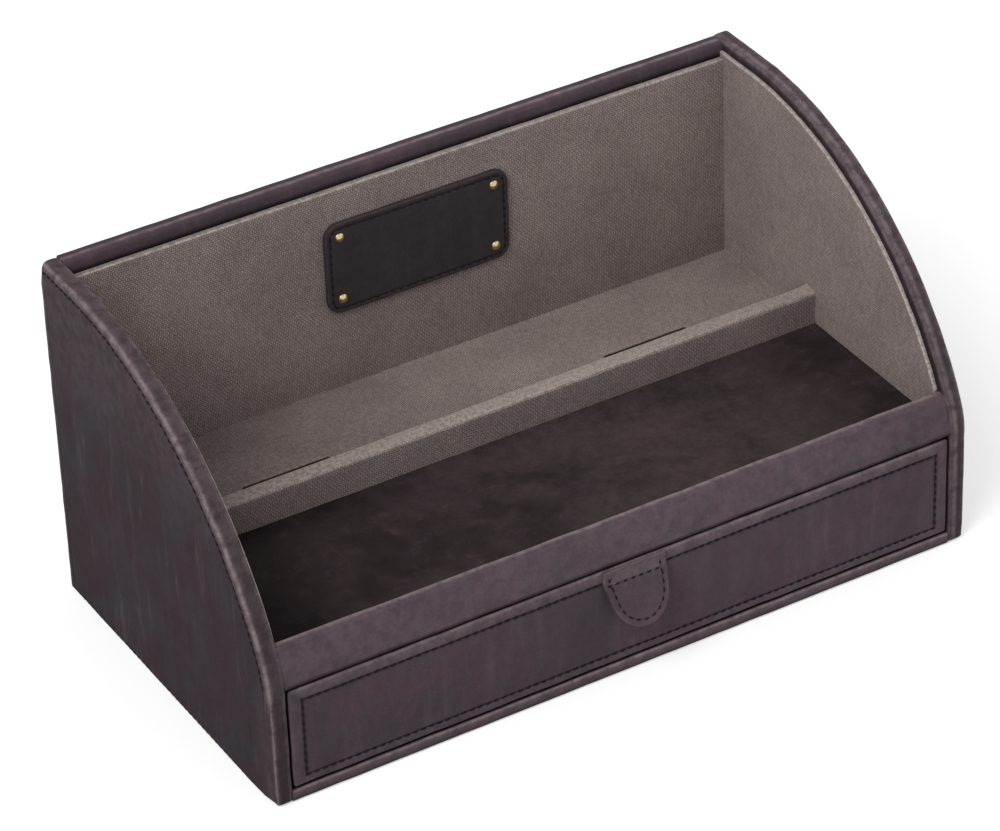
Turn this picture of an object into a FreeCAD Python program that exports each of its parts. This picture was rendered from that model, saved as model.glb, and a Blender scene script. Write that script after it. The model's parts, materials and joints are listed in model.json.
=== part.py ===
"""Men's valet box: leather covered case with an open tray, a rear shelf and one drawer.

Millimetres. X runs across the width, -Y is the drawer side, +Z is up.
The origin is on the underside of the felt, at the middle of the width and depth.
"""
import FreeCAD, Part
import math
import os

Vector = FreeCAD.Vector

# ---- case: overall sizes ----
case_width = 300.6
case_depth = 162.7
case_height = 147.2
edge_lift = 0.3              # leather edges stand this far off the table
felt_thickness = 1.2
overrun = 1.0                # how far a cutter runs past the face it opens

# ---- side panels: outline ----
knee_height = 49.0           # top of the upright front edge
knee_radius = 32.0           # small bend above it
crown_setback = 135.4        # end of the long curve, back from the front
toe_radius = 1.5             # front lower corner
heel_radius = 1.5            # back corners
edge_softness = 1.2          # rounding of the leather along the outline

# ---- covers and boards ----
leather = 0.9                # thickness of the cover leather
side_board_thickness = 5.5
back_board_thickness = 5.6
turn_in = 12.0               # how far the leather is folded onto an inner face
back_drop = 0.4              # top of the back below the crown
back_edge_softness = 2.0

# ---- base and deck ----
base_board_thickness = 3.3
front_setback = 0.1          # base rail behind the side edges
bay_height = 44.3            # clear height of the drawer bay at its mouth
bay_depth = 87.6             # from the front to the board that closes the bay
bay_back_thickness = 4.0
deck_thickness = 3.2
tray_leather_thickness = 1.0
shelf_canvas_thickness = 0.6

# ---- rail above the drawer ----
fascia_height = 16.1
fascia_recess = 0.7          # behind the curved side edges
fascia_board_thickness = 2.6
fascia_leather = 0.8
fascia_softness = 1.2

# ---- divider between tray and shelf ----
divider_softness = 1.7       # rounding of the canvas along its top edges
divider_setback = 88.2
divider_board_thickness = 6.1
divider_height = 14.9        # above the deck
canvas = 0.7

# ---- canvas lining boards ----
side_lining_thickness = 1.5
side_lining_inset = 3.9      # below the curved side edge
back_lining_thickness = 2.6
back_lining_drop = 5.8       # below the top of the back
lining_gap = 0.2             # between the side linings and the rail

# ---- cord passages ----
cord_slot_length = 38.0
cord_slot_width = 12.0
cord_slot_centre = 79.5      # either side of the middle
cord_slot_gap = 7.7          # behind the divider
cord_slot_corner = 1.0
outlet_length = 46.0
outlet_height = 14.0
outlet_centre_height = 26.0

# ---- drawer ----
front_gap = 1.0              # all round the drawer front
drawer_front_recess = 0.2
drawer_front_board = 4.4
drawer_front_turn_in = 10.0
drawer_front_softness = 1.0
drawer_side_thickness = 3.2
drawer_bottom_thickness = 3.0
drawer_lift = 0.3            # running clearance above the bay floor
drawer_head_room = 3.0
drawer_back_room = 1.5
drawer_floor_canvas_thickness = 1.2
drawer_lining_thickness = 1.0
drawer_lining_drop = 1.5

# ---- pull tab ----
tab_width = 27.0
tab_offset = 1.6
tab_seam_drop = 6.0          # seam below the top of the drawer front
tab_length = 18.4            # free flap below the seam
tab_thickness = 2.6
tab_root_thickness = 1.3
tab_gap = 0.3                # flap to drawer front when it lies flat
tab_seam_gap = 1.0           # seam to the flap's stiff part
tab_tilt = 24.0              # how far the flap stands off, degrees

# ---- badge ----
badge_width = 80.2
badge_height = 39.4
badge_thickness = 2.0
badge_corner = 6.0
badge_offset = 1.85
badge_centre_height = 107.3
pin_inset_x = 6.3            # pin centre in from the badge's side edge
pin_inset_z = 6.1            # and from its top and bottom edge
pin_head_radius = 2.1
pin_head_height = 1.0
pin_shank_radius = 0.6
pin_shank_length = 3.6
pin_clearance = 0.1

# ---- planes that the pieces share ----
front_y = -case_depth / 2
back_y = case_depth / 2
outer_x = case_width / 2
side_thickness = leather + side_board_thickness + leather
inner_x = outer_x - side_thickness
lining_x = inner_x - side_lining_thickness
back_thickness = leather + back_board_thickness + leather
back_face_y = back_y - back_thickness
back_lining_y = back_face_y - back_lining_thickness
top_z = case_height
crown_y = front_y + crown_setback
crown_run = crown_setback - knee_radius
crown_rise = case_height - knee_height
crown_radius = (crown_run ** 2 + crown_rise ** 2 - knee_radius ** 2) / (2 * (crown_rise - knee_radius))
crown_z = top_z - crown_radius
back_top_z = top_z - back_drop
base_board_top = felt_thickness + base_board_thickness
bay_floor = base_board_top + leather
bay_roof = bay_floor + bay_height
deck_top = bay_roof + deck_thickness
fascia_top = bay_roof + fascia_height
fascia_thickness = fascia_leather + fascia_board_thickness + fascia_leather
divider_front = front_y + divider_setback
divider_thickness = canvas + divider_board_thickness + canvas
divider_back = divider_front + divider_thickness
shelf_top = deck_top + shelf_canvas_thickness
bay_end = front_y + bay_depth
drawer_half_width = inner_x - front_gap
drawer_face = front_y + drawer_front_recess
drawer_front_back = drawer_face + leather + drawer_front_board + leather
drawer_front_low = bay_floor + front_gap
drawer_front_top = bay_roof - front_gap
drawer_end = bay_end - drawer_back_room
drawer_low = bay_floor + drawer_lift
drawer_wall_top = bay_roof - drawer_head_room
drawer_inner_x = drawer_half_width - drawer_side_thickness
drawer_floor = drawer_low + drawer_bottom_thickness
drawer_floor_top = drawer_floor + drawer_floor_canvas_thickness
drawer_lining_top = drawer_wall_top - drawer_lining_drop
seam_z = drawer_front_top - tab_seam_drop
tab_pivot_y = drawer_face - tab_thickness / 2 - tab_gap
knee_angle = math.atan2(knee_height - crown_z, knee_radius - crown_setback)


def box(x0, x1, y0, y1, z0, z1):
    """Block between two corners."""
    return Part.makeBox(x1 - x0, y1 - y0, z1 - z0, Vector(x0, y0, z0))


def bend(y, z, radius, start, end):
    """Middle and end point of an arc about (y, z), angles in radians."""
    middle = (start + end) / 2
    return ((y + radius * math.cos(middle), z + radius * math.sin(middle)),
            (y + radius * math.cos(end), z + radius * math.sin(end)))


def trace(x, start, steps):
    """Closed face in the plane at x: each step is (end,) for a line or (middle, end) for an arc."""
    edges = []
    here = Vector(x, *start)
    for step in steps:
        end = Vector(x, *step[-1])
        if len(step) == 2:
            edges.append(Part.Arc(here, Vector(x, *step[0]), end).toShape())
        else:
            edges.append(Part.LineSegment(here, end).toShape())
        here = end
    return Part.Face(Part.Wire(edges))


def side_slab(x0, x1, inset=0.0):
    """Slice of the side outline from x0 to x1, drawn in by inset all round."""
    front = front_y + inset
    back = back_y - inset
    low = edge_lift + inset
    top = top_z - inset
    toe = toe_radius - inset
    heel = heel_radius - inset
    quarter = math.pi / 2
    steps = [((front, knee_height),),
             bend(front_y + knee_radius, knee_height, knee_radius - inset, math.pi, knee_angle),
             bend(crown_y, crown_z, crown_radius - inset, knee_angle, quarter)]
    if heel > 0:
        steps.append(((back - heel, top),))
        steps.append(bend(back - heel, top - heel, heel, quarter, 0))
        steps.append(((back, low + heel),))
        steps.append(bend(back - heel, low + heel, heel, 0, -quarter))
    else:
        steps.append(((back, top),))
        steps.append(((back, low),))
    if toe > 0:
        start = (front, low + toe)
        steps.append(((front + toe, low),))
        steps.append(bend(front + toe, low + toe, toe, -quarter, -2 * quarter))
    else:
        start = (front, low)
        steps.append((start,))
    return trace(x0, start, steps).extrude(Vector(x1 - x0, 0, 0))


def outline_y(z, inset):
    """Distance along Y of the curved side edge at height z, drawn in by inset."""
    join_z = crown_z + (crown_radius - inset) * math.sin(knee_angle)
    if z > join_z:
        return crown_y - math.sqrt((crown_radius - inset) ** 2 - (z - crown_z) ** 2)
    rise = max(z - knee_height, 0)
    return front_y + knee_radius - math.sqrt((knee_radius - inset) ** 2 - rise ** 2)


def soften(shape, radius, test):
    """Round the edges whose middle passes the test."""
    edges = [e for e in shape.Edges if test(e.valueAt((e.FirstParameter + e.LastParameter) / 2))]
    return shape.makeFillet(radius, edges)


def near(a, b):
    return abs(a - b) < 0.001


def wrap(board, outer, turn_in_window):
    """Leather round a board, open at the back inside the turned-in margin."""
    return outer.cut(board).cut(turn_in_window)


# ---- case sides ----

def side_board(hand):
    """Curved board of one side; hand is 1 for right and -1 for left."""
    return side_slab(hand * (outer_x - leather), hand * (inner_x + leather), leather)


def side_leather(hand):
    """Leather over the outer face and edges of one side, turned in on the inner face."""
    outer = side_slab(hand * outer_x, hand * inner_x)
    outer = soften(outer, edge_softness,
                   lambda p: near(abs(p.x), outer_x) or near(abs(p.x), inner_x))
    window = side_slab(hand * (inner_x + leather), hand * inner_x, turn_in)
    return wrap(side_board(hand), outer, window)


def side_lining(hand):
    """Canvas covered board inside one side, standing on the deck behind the rail."""
    slab = side_slab(hand * inner_x, hand * lining_x, side_lining_inset)
    slab = slab.common(box(-outer_x, outer_x, front_y, back_face_y, deck_top, top_z))
    rail_back = outline_y(fascia_top, fascia_recess + fascia_thickness) + lining_gap
    return slab.cut(box(-outer_x, outer_x, front_y - overrun, rail_back, 0, fascia_top + lining_gap))


# ---- case back ----

def stadium(length, height, x, z, y0, y1):
    """Bar with round ends along X, for a slot through a panel."""
    radius = height / 2
    half = length / 2 - radius
    bar = box(x - half, x + half, y0, y1, z - radius, z + radius)
    for side in (-1, 1):
        end = Part.makeCylinder(radius, y1 - y0, Vector(x + side * half, y0, z), Vector(0, 1, 0))
        bar = bar.fuse(end)
    return bar.removeSplitter()


def outlet(margin):
    """Cord outlet low in the back, smaller by margin where the leather lines it."""
    return stadium(outlet_length + 2 * margin, outlet_height + 2 * margin, 0, outlet_centre_height,
                   back_face_y - overrun, back_y + overrun)


def back_core():
    """Board of the back before its outlet is cut."""
    return box(-inner_x, inner_x, back_face_y + leather, back_y - leather,
               edge_lift + leather, back_top_z - leather)


def back_board():
    return back_core().cut(outlet(leather))


def back_leather():
    """Leather over the outside and top of the back, lining the cord outlet."""
    outer = box(-inner_x, inner_x, back_face_y, back_y, edge_lift, back_top_z)
    outer = soften(outer, back_edge_softness,
                   lambda p: near(p.z, back_top_z) and near(p.x, 0))
    core = back_board()
    window = box(-inner_x, inner_x, back_face_y, back_face_y + leather,
                 edge_lift + turn_in, back_top_z - turn_in)
    return wrap(core, outer, window).cut(outlet(0))


def back_lining():
    """Canvas covered board inside the back, drilled for the badge pins."""
    board = box(-lining_x, lining_x, back_lining_y, back_face_y,
                deck_top, back_top_z - back_lining_drop)
    return drill_pins(board)


# ---- base, bay and deck ----

def base_board():
    return box(-inner_x, inner_x, front_y + front_setback + leather, back_face_y,
               felt_thickness, base_board_top)


def base_leather():
    """Leather over the bay floor and the front edge of the base, turned in under it."""
    front = front_y + front_setback
    outer = box(-inner_x, inner_x, front, bay_end, edge_lift, bay_floor)
    outer = soften(outer, leather,
                   lambda p: near(p.y, front) and near(p.x, 0))
    below = box(-inner_x, inner_x, front + turn_in, bay_end, edge_lift, felt_thickness)
    return wrap(base_board(), outer, below)


def base_felt():
    return box(-inner_x + leather, inner_x - leather, front_y + front_setback + turn_in + leather,
               back_face_y - leather, 0, felt_thickness)


def bay_back_board():
    """Board that closes the drawer bay and carries the deck under the divider."""
    return box(-inner_x, inner_x, bay_end, bay_end + bay_back_thickness, base_board_top, bay_roof)


def cord_slots(low, high):
    """The two cord slots behind the divider, from height low to high."""
    slots = []
    for side in (-1, 1):
        middle = side * cord_slot_centre
        start = divider_back + cord_slot_gap
        slot = box(middle - cord_slot_length / 2, middle + cord_slot_length / 2,
                   start, start + cord_slot_width, low, high)
        upright = [e for e in slot.Edges if near(e.BoundBox.ZLength, high - low)]
        slots.append(slot.makeFillet(cord_slot_corner, upright))
    return slots


def deck_board():
    """One board under tray and shelf, from the rail to the back."""
    board = box(-inner_x, inner_x, front_y, back_face_y, bay_roof, deck_top)
    board = board.common(side_slab(-inner_x, inner_x, fascia_recess + fascia_thickness))
    return board.cut(cord_slots(bay_roof - overrun, deck_top + overrun))


def tray_leather():
    """Leather floor of the front tray."""
    sheet = box(-lining_x, lining_x, front_y, divider_front, deck_top, deck_top + tray_leather_thickness)
    return sheet.common(side_slab(-lining_x, lining_x, fascia_recess + fascia_thickness))


def shelf_canvas():
    """Canvas floor of the rear shelf."""
    sheet = box(-lining_x, lining_x, divider_back, back_lining_y, deck_top, shelf_top)
    return sheet.cut(cord_slots(deck_top - overrun, shelf_top + overrun))


# ---- rail above the drawer ----

def rail(recess, thickness, low, high):
    """Bar that follows the side curve, recess behind it."""
    bar = side_slab(-inner_x, inner_x, recess).cut(side_slab(-outer_x, outer_x, recess + thickness))
    return bar.common(box(-inner_x, inner_x, front_y, front_y + knee_radius, low, high))


def fascia_board():
    return rail(fascia_recess + fascia_leather, fascia_board_thickness,
                bay_roof + fascia_leather, fascia_top - fascia_leather)


def fascia_leather_cover():
    outer = rail(fascia_recess, fascia_thickness, bay_roof, fascia_top)
    outer = soften(outer, fascia_softness, lambda p: near(p.z, fascia_top) and near(p.x, 0))
    return outer.cut(fascia_board())


# ---- divider ----

def bar(thickness, height, softness):
    """Upright bar on the deck with eased top edges, as wide as the room between the linings."""
    middle = divider_front + divider_thickness / 2
    top = deck_top + height
    shape = box(-lining_x, lining_x, middle - thickness / 2, middle + thickness / 2, deck_top, top)
    return soften(shape, softness, lambda p: near(p.z, top) and near(p.x, 0))


def divider_board():
    return bar(divider_board_thickness, divider_height - canvas, divider_softness - canvas)


def divider_canvas():
    return bar(divider_thickness, divider_height, divider_softness).cut(divider_board())


# ---- badge ----

def pin_places():
    """Where the four pins sit on the badge, as (x, z)."""
    reach_x = badge_width / 2 - pin_inset_x
    reach_z = badge_height / 2 - pin_inset_z
    return [(badge_offset + side * reach_x, badge_centre_height + level * reach_z)
            for side in (-1, 1) for level in (-1, 1)]


def drill_pins(shape):
    for x, z in pin_places():
        hole = Part.makeCylinder(pin_shank_radius + pin_clearance, back_lining_thickness + badge_thickness,
                                 Vector(x, back_face_y, z), Vector(0, -1, 0))
        shape = shape.cut(hole)
    return shape


def badge():
    """Blank leather badge on the back lining."""
    plate = box(badge_offset - badge_width / 2, badge_offset + badge_width / 2,
                back_lining_y - badge_thickness, back_lining_y,
                badge_centre_height - badge_height / 2, badge_centre_height + badge_height / 2)
    corners = [e for e in plate.Edges if near(e.BoundBox.YLength, badge_thickness)]
    return drill_pins(plate.makeFillet(badge_corner, corners))


def badge_pins():
    """Four domed brass pins, each a head and shank in one."""
    pins = []
    face = back_lining_y - badge_thickness
    sphere_radius = (pin_head_radius ** 2 + pin_head_height ** 2) / (2 * pin_head_height)
    for x, z in pin_places():
        ball = Part.makeSphere(sphere_radius, Vector(x, face + sphere_radius - pin_head_height, z))
        keep = Part.makeCylinder(pin_head_radius, pin_head_height, Vector(x, face, z), Vector(0, -1, 0))
        shank = Part.makeCylinder(pin_shank_radius, pin_shank_length, Vector(x, face, z), Vector(0, 1, 0))
        pins.append(ball.common(keep).fuse(shank).removeSplitter())
    return Part.makeCompound(pins)


# ---- drawer ----

def drawer_front_core():
    return box(-drawer_half_width + leather, drawer_half_width - leather,
               drawer_face + leather, drawer_front_back - leather,
               drawer_front_low + leather, drawer_front_top - leather)


def drawer_front_leather():
    """Leather over the drawer front, turned in on its back."""
    outer = box(-drawer_half_width, drawer_half_width, drawer_face, drawer_front_back,
                drawer_front_low, drawer_front_top)
    outer = soften(outer, drawer_front_softness, lambda p: near(p.y, drawer_face))
    window = box(-drawer_half_width + drawer_front_turn_in, drawer_half_width - drawer_front_turn_in,
                 drawer_front_back - leather, drawer_front_back,
                 drawer_front_low + drawer_front_turn_in, drawer_front_top - drawer_front_turn_in)
    return wrap(drawer_front_core(), outer, window)


def drawer_side(hand):
    wall = sorted((hand * drawer_inner_x, hand * drawer_half_width))
    return box(*wall, drawer_front_back, drawer_end, drawer_low, drawer_wall_top)


def drawer_bottom():
    return box(-drawer_inner_x, drawer_inner_x, drawer_front_back, drawer_end, drawer_low, drawer_floor)


def drawer_back():
    return box(-drawer_inner_x, drawer_inner_x, drawer_end - drawer_side_thickness, drawer_end,
               drawer_floor, drawer_wall_top)


def drawer_floor_canvas():
    return box(-drawer_inner_x, drawer_inner_x, drawer_front_back, drawer_end - drawer_side_thickness,
               drawer_floor, drawer_floor_top)


def drawer_lining_side(hand):
    sheet = sorted((hand * drawer_inner_x, hand * (drawer_inner_x - drawer_lining_thickness)))
    return box(*sheet, drawer_front_back, drawer_end - drawer_side_thickness,
               drawer_floor_top, drawer_lining_top)


def drawer_lining_across(y0):
    """Lining board on the inner face of the drawer's front or back."""
    reach = drawer_inner_x - drawer_lining_thickness
    return box(-reach, reach, y0, y0 + drawer_lining_thickness, drawer_floor_top, drawer_lining_top)


# ---- pull tab ----

def pull_tab_root():
    """Top of the pull tab, sewn flat on the drawer front."""
    return box(tab_offset - tab_width / 2, tab_offset + tab_width / 2,
               drawer_face - tab_root_thickness, drawer_face, seam_z, drawer_front_top)


def pull_tab():
    """Free flap with a round end, standing off the drawer front."""
    radius = tab_width / 2
    inner_y = tab_pivot_y + tab_thickness / 2
    outer_y = tab_pivot_y - tab_thickness / 2
    round_z = seam_z - (tab_length - radius)
    upper = box(tab_offset - radius, tab_offset + radius, outer_y, inner_y, round_z,
                seam_z - tab_seam_gap)
    disc = Part.makeCylinder(radius, tab_thickness, Vector(tab_offset, outer_y, round_z), Vector(0, 1, 0))
    lower = disc.common(box(tab_offset - radius, tab_offset + radius, outer_y, inner_y,
                            round_z - radius, round_z))
    flap = upper.fuse(lower).removeSplitter()
    flap.rotate(Vector(0, tab_pivot_y, seam_z), Vector(1, 0, 0), -tab_tilt)
    return flap


parts = {
    "side_board_left": side_board(-1),
    "side_board_right": side_board(1),
    "side_leather_left": side_leather(-1),
    "side_leather_right": side_leather(1),
    "lining_left": side_lining(-1),
    "lining_right": side_lining(1),
    "back_board": back_board(),
    "back_leather": back_leather(),
    "lining_back": back_lining(),
    "base_board": base_board(),
    "base_leather": base_leather(),
    "base_felt": base_felt(),
    "bay_back_board": bay_back_board(),
    "deck_board": deck_board(),
    "tray_leather": tray_leather(),
    "shelf_canvas": shelf_canvas(),
    "fascia_board": fascia_board(),
    "fascia_leather": fascia_leather_cover(),
    "divider_board": divider_board(),
    "divider_canvas": divider_canvas(),
    "badge": badge(),
    "badge_pins": badge_pins(),
    "drawer_front_board": drawer_front_core(),
    "drawer_front_leather": drawer_front_leather(),
    "drawer_side_left": drawer_side(-1),
    "drawer_side_right": drawer_side(1),
    "drawer_bottom": drawer_bottom(),
    "drawer_back": drawer_back(),
    "drawer_floor_canvas": drawer_floor_canvas(),
    "drawer_lining_left": drawer_lining_side(-1),
    "drawer_lining_right": drawer_lining_side(1),
    "drawer_lining_front": drawer_lining_across(drawer_front_back),
    "drawer_lining_back": drawer_lining_across(drawer_end - drawer_side_thickness - drawer_lining_thickness),
    "pull_tab_root": pull_tab_root(),
    "pull_tab": pull_tab(),
}

os.makedirs("parts", exist_ok=True)
for name, shape in parts.items():
    shape.exportStep(os.path.join("parts", name + ".step"))
    print(f"{name:24s} solids {len(shape.Solids)}  volume {shape.Volume:10.1f}  valid {shape.isValid()}")
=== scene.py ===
"""Valet box: leather, canvas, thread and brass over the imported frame."""

import json
import math
from collections import namedtuple
from functools import partial

import bmesh
import bpy
from bpy.props import FloatProperty, FloatVectorProperty, PointerProperty
from mathutils import Matrix, Vector, noise
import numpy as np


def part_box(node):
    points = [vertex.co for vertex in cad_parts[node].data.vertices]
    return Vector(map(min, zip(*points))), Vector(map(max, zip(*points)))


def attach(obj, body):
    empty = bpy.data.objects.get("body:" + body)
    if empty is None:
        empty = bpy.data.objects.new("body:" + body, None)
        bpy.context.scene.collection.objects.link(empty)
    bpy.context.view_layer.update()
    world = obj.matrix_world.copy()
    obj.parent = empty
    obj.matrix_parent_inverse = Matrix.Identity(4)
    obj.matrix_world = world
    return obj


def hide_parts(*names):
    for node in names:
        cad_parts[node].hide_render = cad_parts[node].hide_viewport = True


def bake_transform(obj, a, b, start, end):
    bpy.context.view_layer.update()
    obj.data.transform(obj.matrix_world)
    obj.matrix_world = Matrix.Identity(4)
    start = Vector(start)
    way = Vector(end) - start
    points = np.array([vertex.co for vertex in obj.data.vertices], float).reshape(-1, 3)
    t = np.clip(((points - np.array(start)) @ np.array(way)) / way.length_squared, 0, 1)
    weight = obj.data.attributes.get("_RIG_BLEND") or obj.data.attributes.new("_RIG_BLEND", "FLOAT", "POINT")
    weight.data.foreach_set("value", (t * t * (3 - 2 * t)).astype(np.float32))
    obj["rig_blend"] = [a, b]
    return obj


bl_info = {
    "name": "Valet Box Dressing",
    "version": (1, 0, 0),
    "blender": (4, 5, 0),
    "location": "3D View > Sidebar > Valet Box",
    "description": "Covers, linings, stitching, fittings and stage of a valet box with a drawer",
    "category": "Object",
}

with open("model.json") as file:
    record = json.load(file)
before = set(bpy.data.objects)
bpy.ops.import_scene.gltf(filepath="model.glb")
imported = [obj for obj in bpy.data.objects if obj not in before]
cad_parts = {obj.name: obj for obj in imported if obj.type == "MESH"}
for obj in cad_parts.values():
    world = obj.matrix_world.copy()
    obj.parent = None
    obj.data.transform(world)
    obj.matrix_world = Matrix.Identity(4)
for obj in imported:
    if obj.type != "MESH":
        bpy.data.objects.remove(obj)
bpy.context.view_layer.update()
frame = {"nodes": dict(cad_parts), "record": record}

X = Vector((1, 0, 0))
Y = Vector((0, 1, 0))
Z = Vector((0, 0, 1))
QUARTER = math.pi / 2
TINY = 0.05                     # smallest corner radius that a row keeps, mm
SEED = 5                        # of the unevenness, so that every run gives the same shapes
FACING = 0.7072                 # a surface faces an axis from about 45 degrees
SHARP = math.radians(50)        # edges that turn more than this shade as creases
SUNK = 0.45                     # share of its groove's depth that a seam is sunk
OUTLET = Vector((-23, 0, 19)), Vector((23, 0, 33))              # cord outlet in the back, mm
OUTLET_RADIUS = 7.0
SLOT_CLEARANCE = Vector((0.35, 0.05, 0))                        # canvas cut back round the cord slots, mm
CAMERA_PLACE = Vector((-0.740226, -1.282645, 1.073539))
CAMERA_RIGHT = Vector((0.856208, -0.515638, -0.032024))
CAMERA_DOWN = Vector((-0.312708, -0.467909, -0.826605))
CAMERA_AHEAD = Vector((0.411244, 0.71776, -0.561871))
LAMP_AIM = Vector((0, 0, 0.07))
LINING_WANDER = (14.0, 0.08)    # size and amount of a lining's unevenness, mm


def length_prop(name, description, default):
    return FloatProperty(name=name, description=description, default=default,
                         min=0.0, precision=5, unit="LENGTH", subtype="DISTANCE")


def number_prop(name, description, default, **settings):
    return FloatProperty(name=name, description=description, default=default, **settings)


def colour_prop(name, description, default):
    return FloatVectorProperty(name=name, description=description, default=default,
                               size=3, min=0.0, max=1.0, subtype="COLOR")


# ---- what a user would change ----

class ValetLeather(bpy.types.PropertyGroup):
    """Leather covers and their stitching."""
    knee_height: length_prop("Knee height", "Top of the upright front edge of the sides", 0.049)
    knee_radius: length_prop("Knee radius", "Bend above the upright front edge", 0.032)
    crown_setback: length_prop("Crown setback", "End of the long curve, back from the front", 0.1354)
    toe_radius: length_prop("Toe radius", "Front lower corners of the sides", 0.0018)
    corner_radius: length_prop("Corner radius", "The other corners of the sides", 0.0015)
    foot_round: length_prop("Foot rounding", "Rounding of the outer lower corner at the front", 0.0036)
    heel_radius: length_prop("Heel radius", "Top back corner of the left side", 0.0038)
    stitch_inset: length_prop("Stitch inset", "Seam in from the edge of a side", 0.0038)
    stitch_pitch: length_prop("Stitch pitch", "From one stitch to the next", 0.0034)
    stitch_length: length_prop("Stitch length", "Visible part of one stitch", 0.0022)
    thread_width: length_prop("Thread width", "Thickness of the thread", 0.00100)
    groove_depth: length_prop("Groove depth", "How far the seam pulls the leather in", 0.00040)
    border: length_prop("Drawer border", "Seam in from the edge of the drawer front", 0.0053)
    unevenness: length_prop("Unevenness", "How far a hand covered edge wanders", 0.00018)
    deep: colour_prop("Deep", "Darkest tone of the hide", (0.060, 0.047, 0.054))
    warm: colour_prop("Warm", "Reddish tone of the hide", (0.080, 0.053, 0.065))
    cool: colour_prop("Cool", "Grey blue tone of the hide", (0.073, 0.057, 0.070))
    # Pale serves rubbed edges and also painted highlights and painted lift
    pale: colour_prop("Pale", "Rubbed tone along the edges", (0.205, 0.160, 0.170))
    side_tone: number_prop("Side tone", "Tone of the outer sides against the rest", 0.49)
    floor_deep: colour_prop("Tray deep", "Darkest tone of the tray leather", (0.0180, 0.0135, 0.0145))
    floor_warm: colour_prop("Tray warm", "Warm tone of the tray leather", (0.0425, 0.0305, 0.0330))
    badge_tone: colour_prop("Badge", "Tone of the badge leather", (0.040, 0.0335, 0.0355))
    thread_tone: colour_prop("Thread", "Colour of the sewing thread", (0.0110, 0.0085, 0.0100))


class ValetCanvas(bpy.types.PropertyGroup):
    """Woven linings, felt and boards."""
    pitch: length_prop("Thread pitch", "From one thread of the canvas to the next", 0.00076)
    edge: length_prop("Edge radius", "Rounding of a lined board", 0.0006)
    thread: colour_prop("Thread", "Lit tone of the canvas", (0.455, 0.374, 0.350))
    shade: colour_prop("Shade", "Tone between its threads", (0.125, 0.096, 0.088))
    rim: colour_prop("Rim", "Pale tone where the canvas folds over an edge", (0.55, 0.485, 0.44))
    felt: colour_prop("Felt", "Colour of the felt", (0.020, 0.018, 0.019))
    board: colour_prop("Board", "Colour of the fibreboard", (0.20, 0.135, 0.085))


class ValetFittings(bpy.types.PropertyGroup):
    """Pull tab, badge and pins."""
    tab_tilt: number_prop("Tab tilt", "How far the pull tab stands off", math.radians(24), subtype="ANGLE")
    tab_seam: length_prop("Tab seam", "Seam of the pull tab below the top of the drawer", 0.006)
    tab_length: length_prop("Tab length", "Free flap below the seam", 0.0184)
    tab_thickness: length_prop("Tab thickness", "Doubled leather of the free flap", 0.0026)
    tab_stitch_inset: length_prop("Tab stitch inset", "Seam in from the edge of the tab", 0.0026)
    badge_corner: length_prop("Badge corner", "Corner radius of the badge", 0.006)
    badge_stitch_inset: length_prop("Badge stitch inset", "Seam in from the badge's edge", 0.0021)
    pin_radius: length_prop("Pin radius", "Radius of a domed pin", 0.0021)
    brass: colour_prop("Brass", "Colour of the pins", (0.68, 0.53, 0.29))


class ValetStage(bpy.types.PropertyGroup):
    """Floor, lamps and camera."""
    floor: colour_prop("Floor", "Colour of the floor", (0.80, 0.80, 0.80))
    key: number_prop("Key lamp", "Power of the large lamp", 31.0, unit="POWER")
    fill: number_prop("Fill lamp", "Power of the fill lamp", 3.0, unit="POWER")
    sky: number_prop("Sky", "Strength of the even light all round", 0.55)
    lift: number_prop("Floor lift", "White added to the floor where it is seen", 0.44)
    lens: number_prop("Lens", "Focal length of the camera in millimetres", 172.27)


# ---- shaping in bmesh, in millimetres ----

def mm(metres):
    return metres * 1000


def node_box(name):
    """Lowest and highest corner of a frame node in millimetres."""
    low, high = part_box(name)
    return mm(low), mm(high)


def share_of(value):
    """The value held between 0 and 1."""
    return min(max(value, 0.0), 1.0)


def eased(value):
    """Share between 0 and 1 that starts and ends softly."""
    share = share_of(value)
    return share * share * (3 - 2 * share)


def plane_at(x):
    """Maker of points in the upright plane at x, from their y and z."""
    return lambda y, z: Vector((x, y, z))


def stations(low, high, count):
    """Evenly spaced places along x: the share of the way and x."""
    for i in range(count + 1):
        yield i / count, low.x + (high.x - low.x) * i / count


def new_shape():
    """Empty shape; each vertex holds a value that is above 0 where the piece is painted pale, for rubbed
    leather and for painted highlights on edges, and below 0 where painted shade darkens it in recesses, gaps
    and underneath, with some soil in the folds.
    """
    bm = bmesh.new()
    bm.verts.layers.float.new("wear_and_shading")
    return bm


def paint(bm, verts, wear_and_shading_values):
    """Gives the vertices their wear, one by one."""
    layer = bm.verts.layers.float["wear_and_shading"]
    for vert, wear_and_shading in zip(verts, wear_and_shading_values):
        vert[layer] = wear_and_shading


def trace(bm, start, moves, axis, wear_and_shading=0.0, closed=True):
    """Row of vertices from start: a move is (end, steps) for a run or (centre, angle, steps) for a turn."""
    row = list(bmesh.ops.create_vert(bm, co=start)["vert"])
    for move in moves:
        if len(move) == 2:
            end, steps = move
            step = (end - row[-1].co) / steps
            for _ in range(steps):
                tip = bmesh.ops.extrude_vert_indiv(bm, verts=[row[-1]])["verts"][0]
                bmesh.ops.translate(bm, vec=step, verts=[tip])
                row.append(tip)
        else:
            centre, angle, steps = move
            before = len(bm.verts)
            bmesh.ops.spin(bm, geom=[row[-1]], cent=centre, axis=axis, angle=angle, steps=steps)
            bm.verts.ensure_lookup_table()
            row.extend(bm.verts[before:])
    if closed:
        bmesh.ops.contextual_create(bm, geom=[row[-1], row[0]])
    paint(bm, row, [wear_and_shading] * len(row))
    return row


def outline_of(make, *args):
    """Points of a row that is made and thrown away."""
    bm = new_shape()
    points = [vert.co.copy() for vert in make(bm, *args)]
    bm.free()
    return points


def loop_edges(bm, row):
    return [bm.edges.get(pair) for pair in zip(row, row[1:] + row[:1])]


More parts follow.
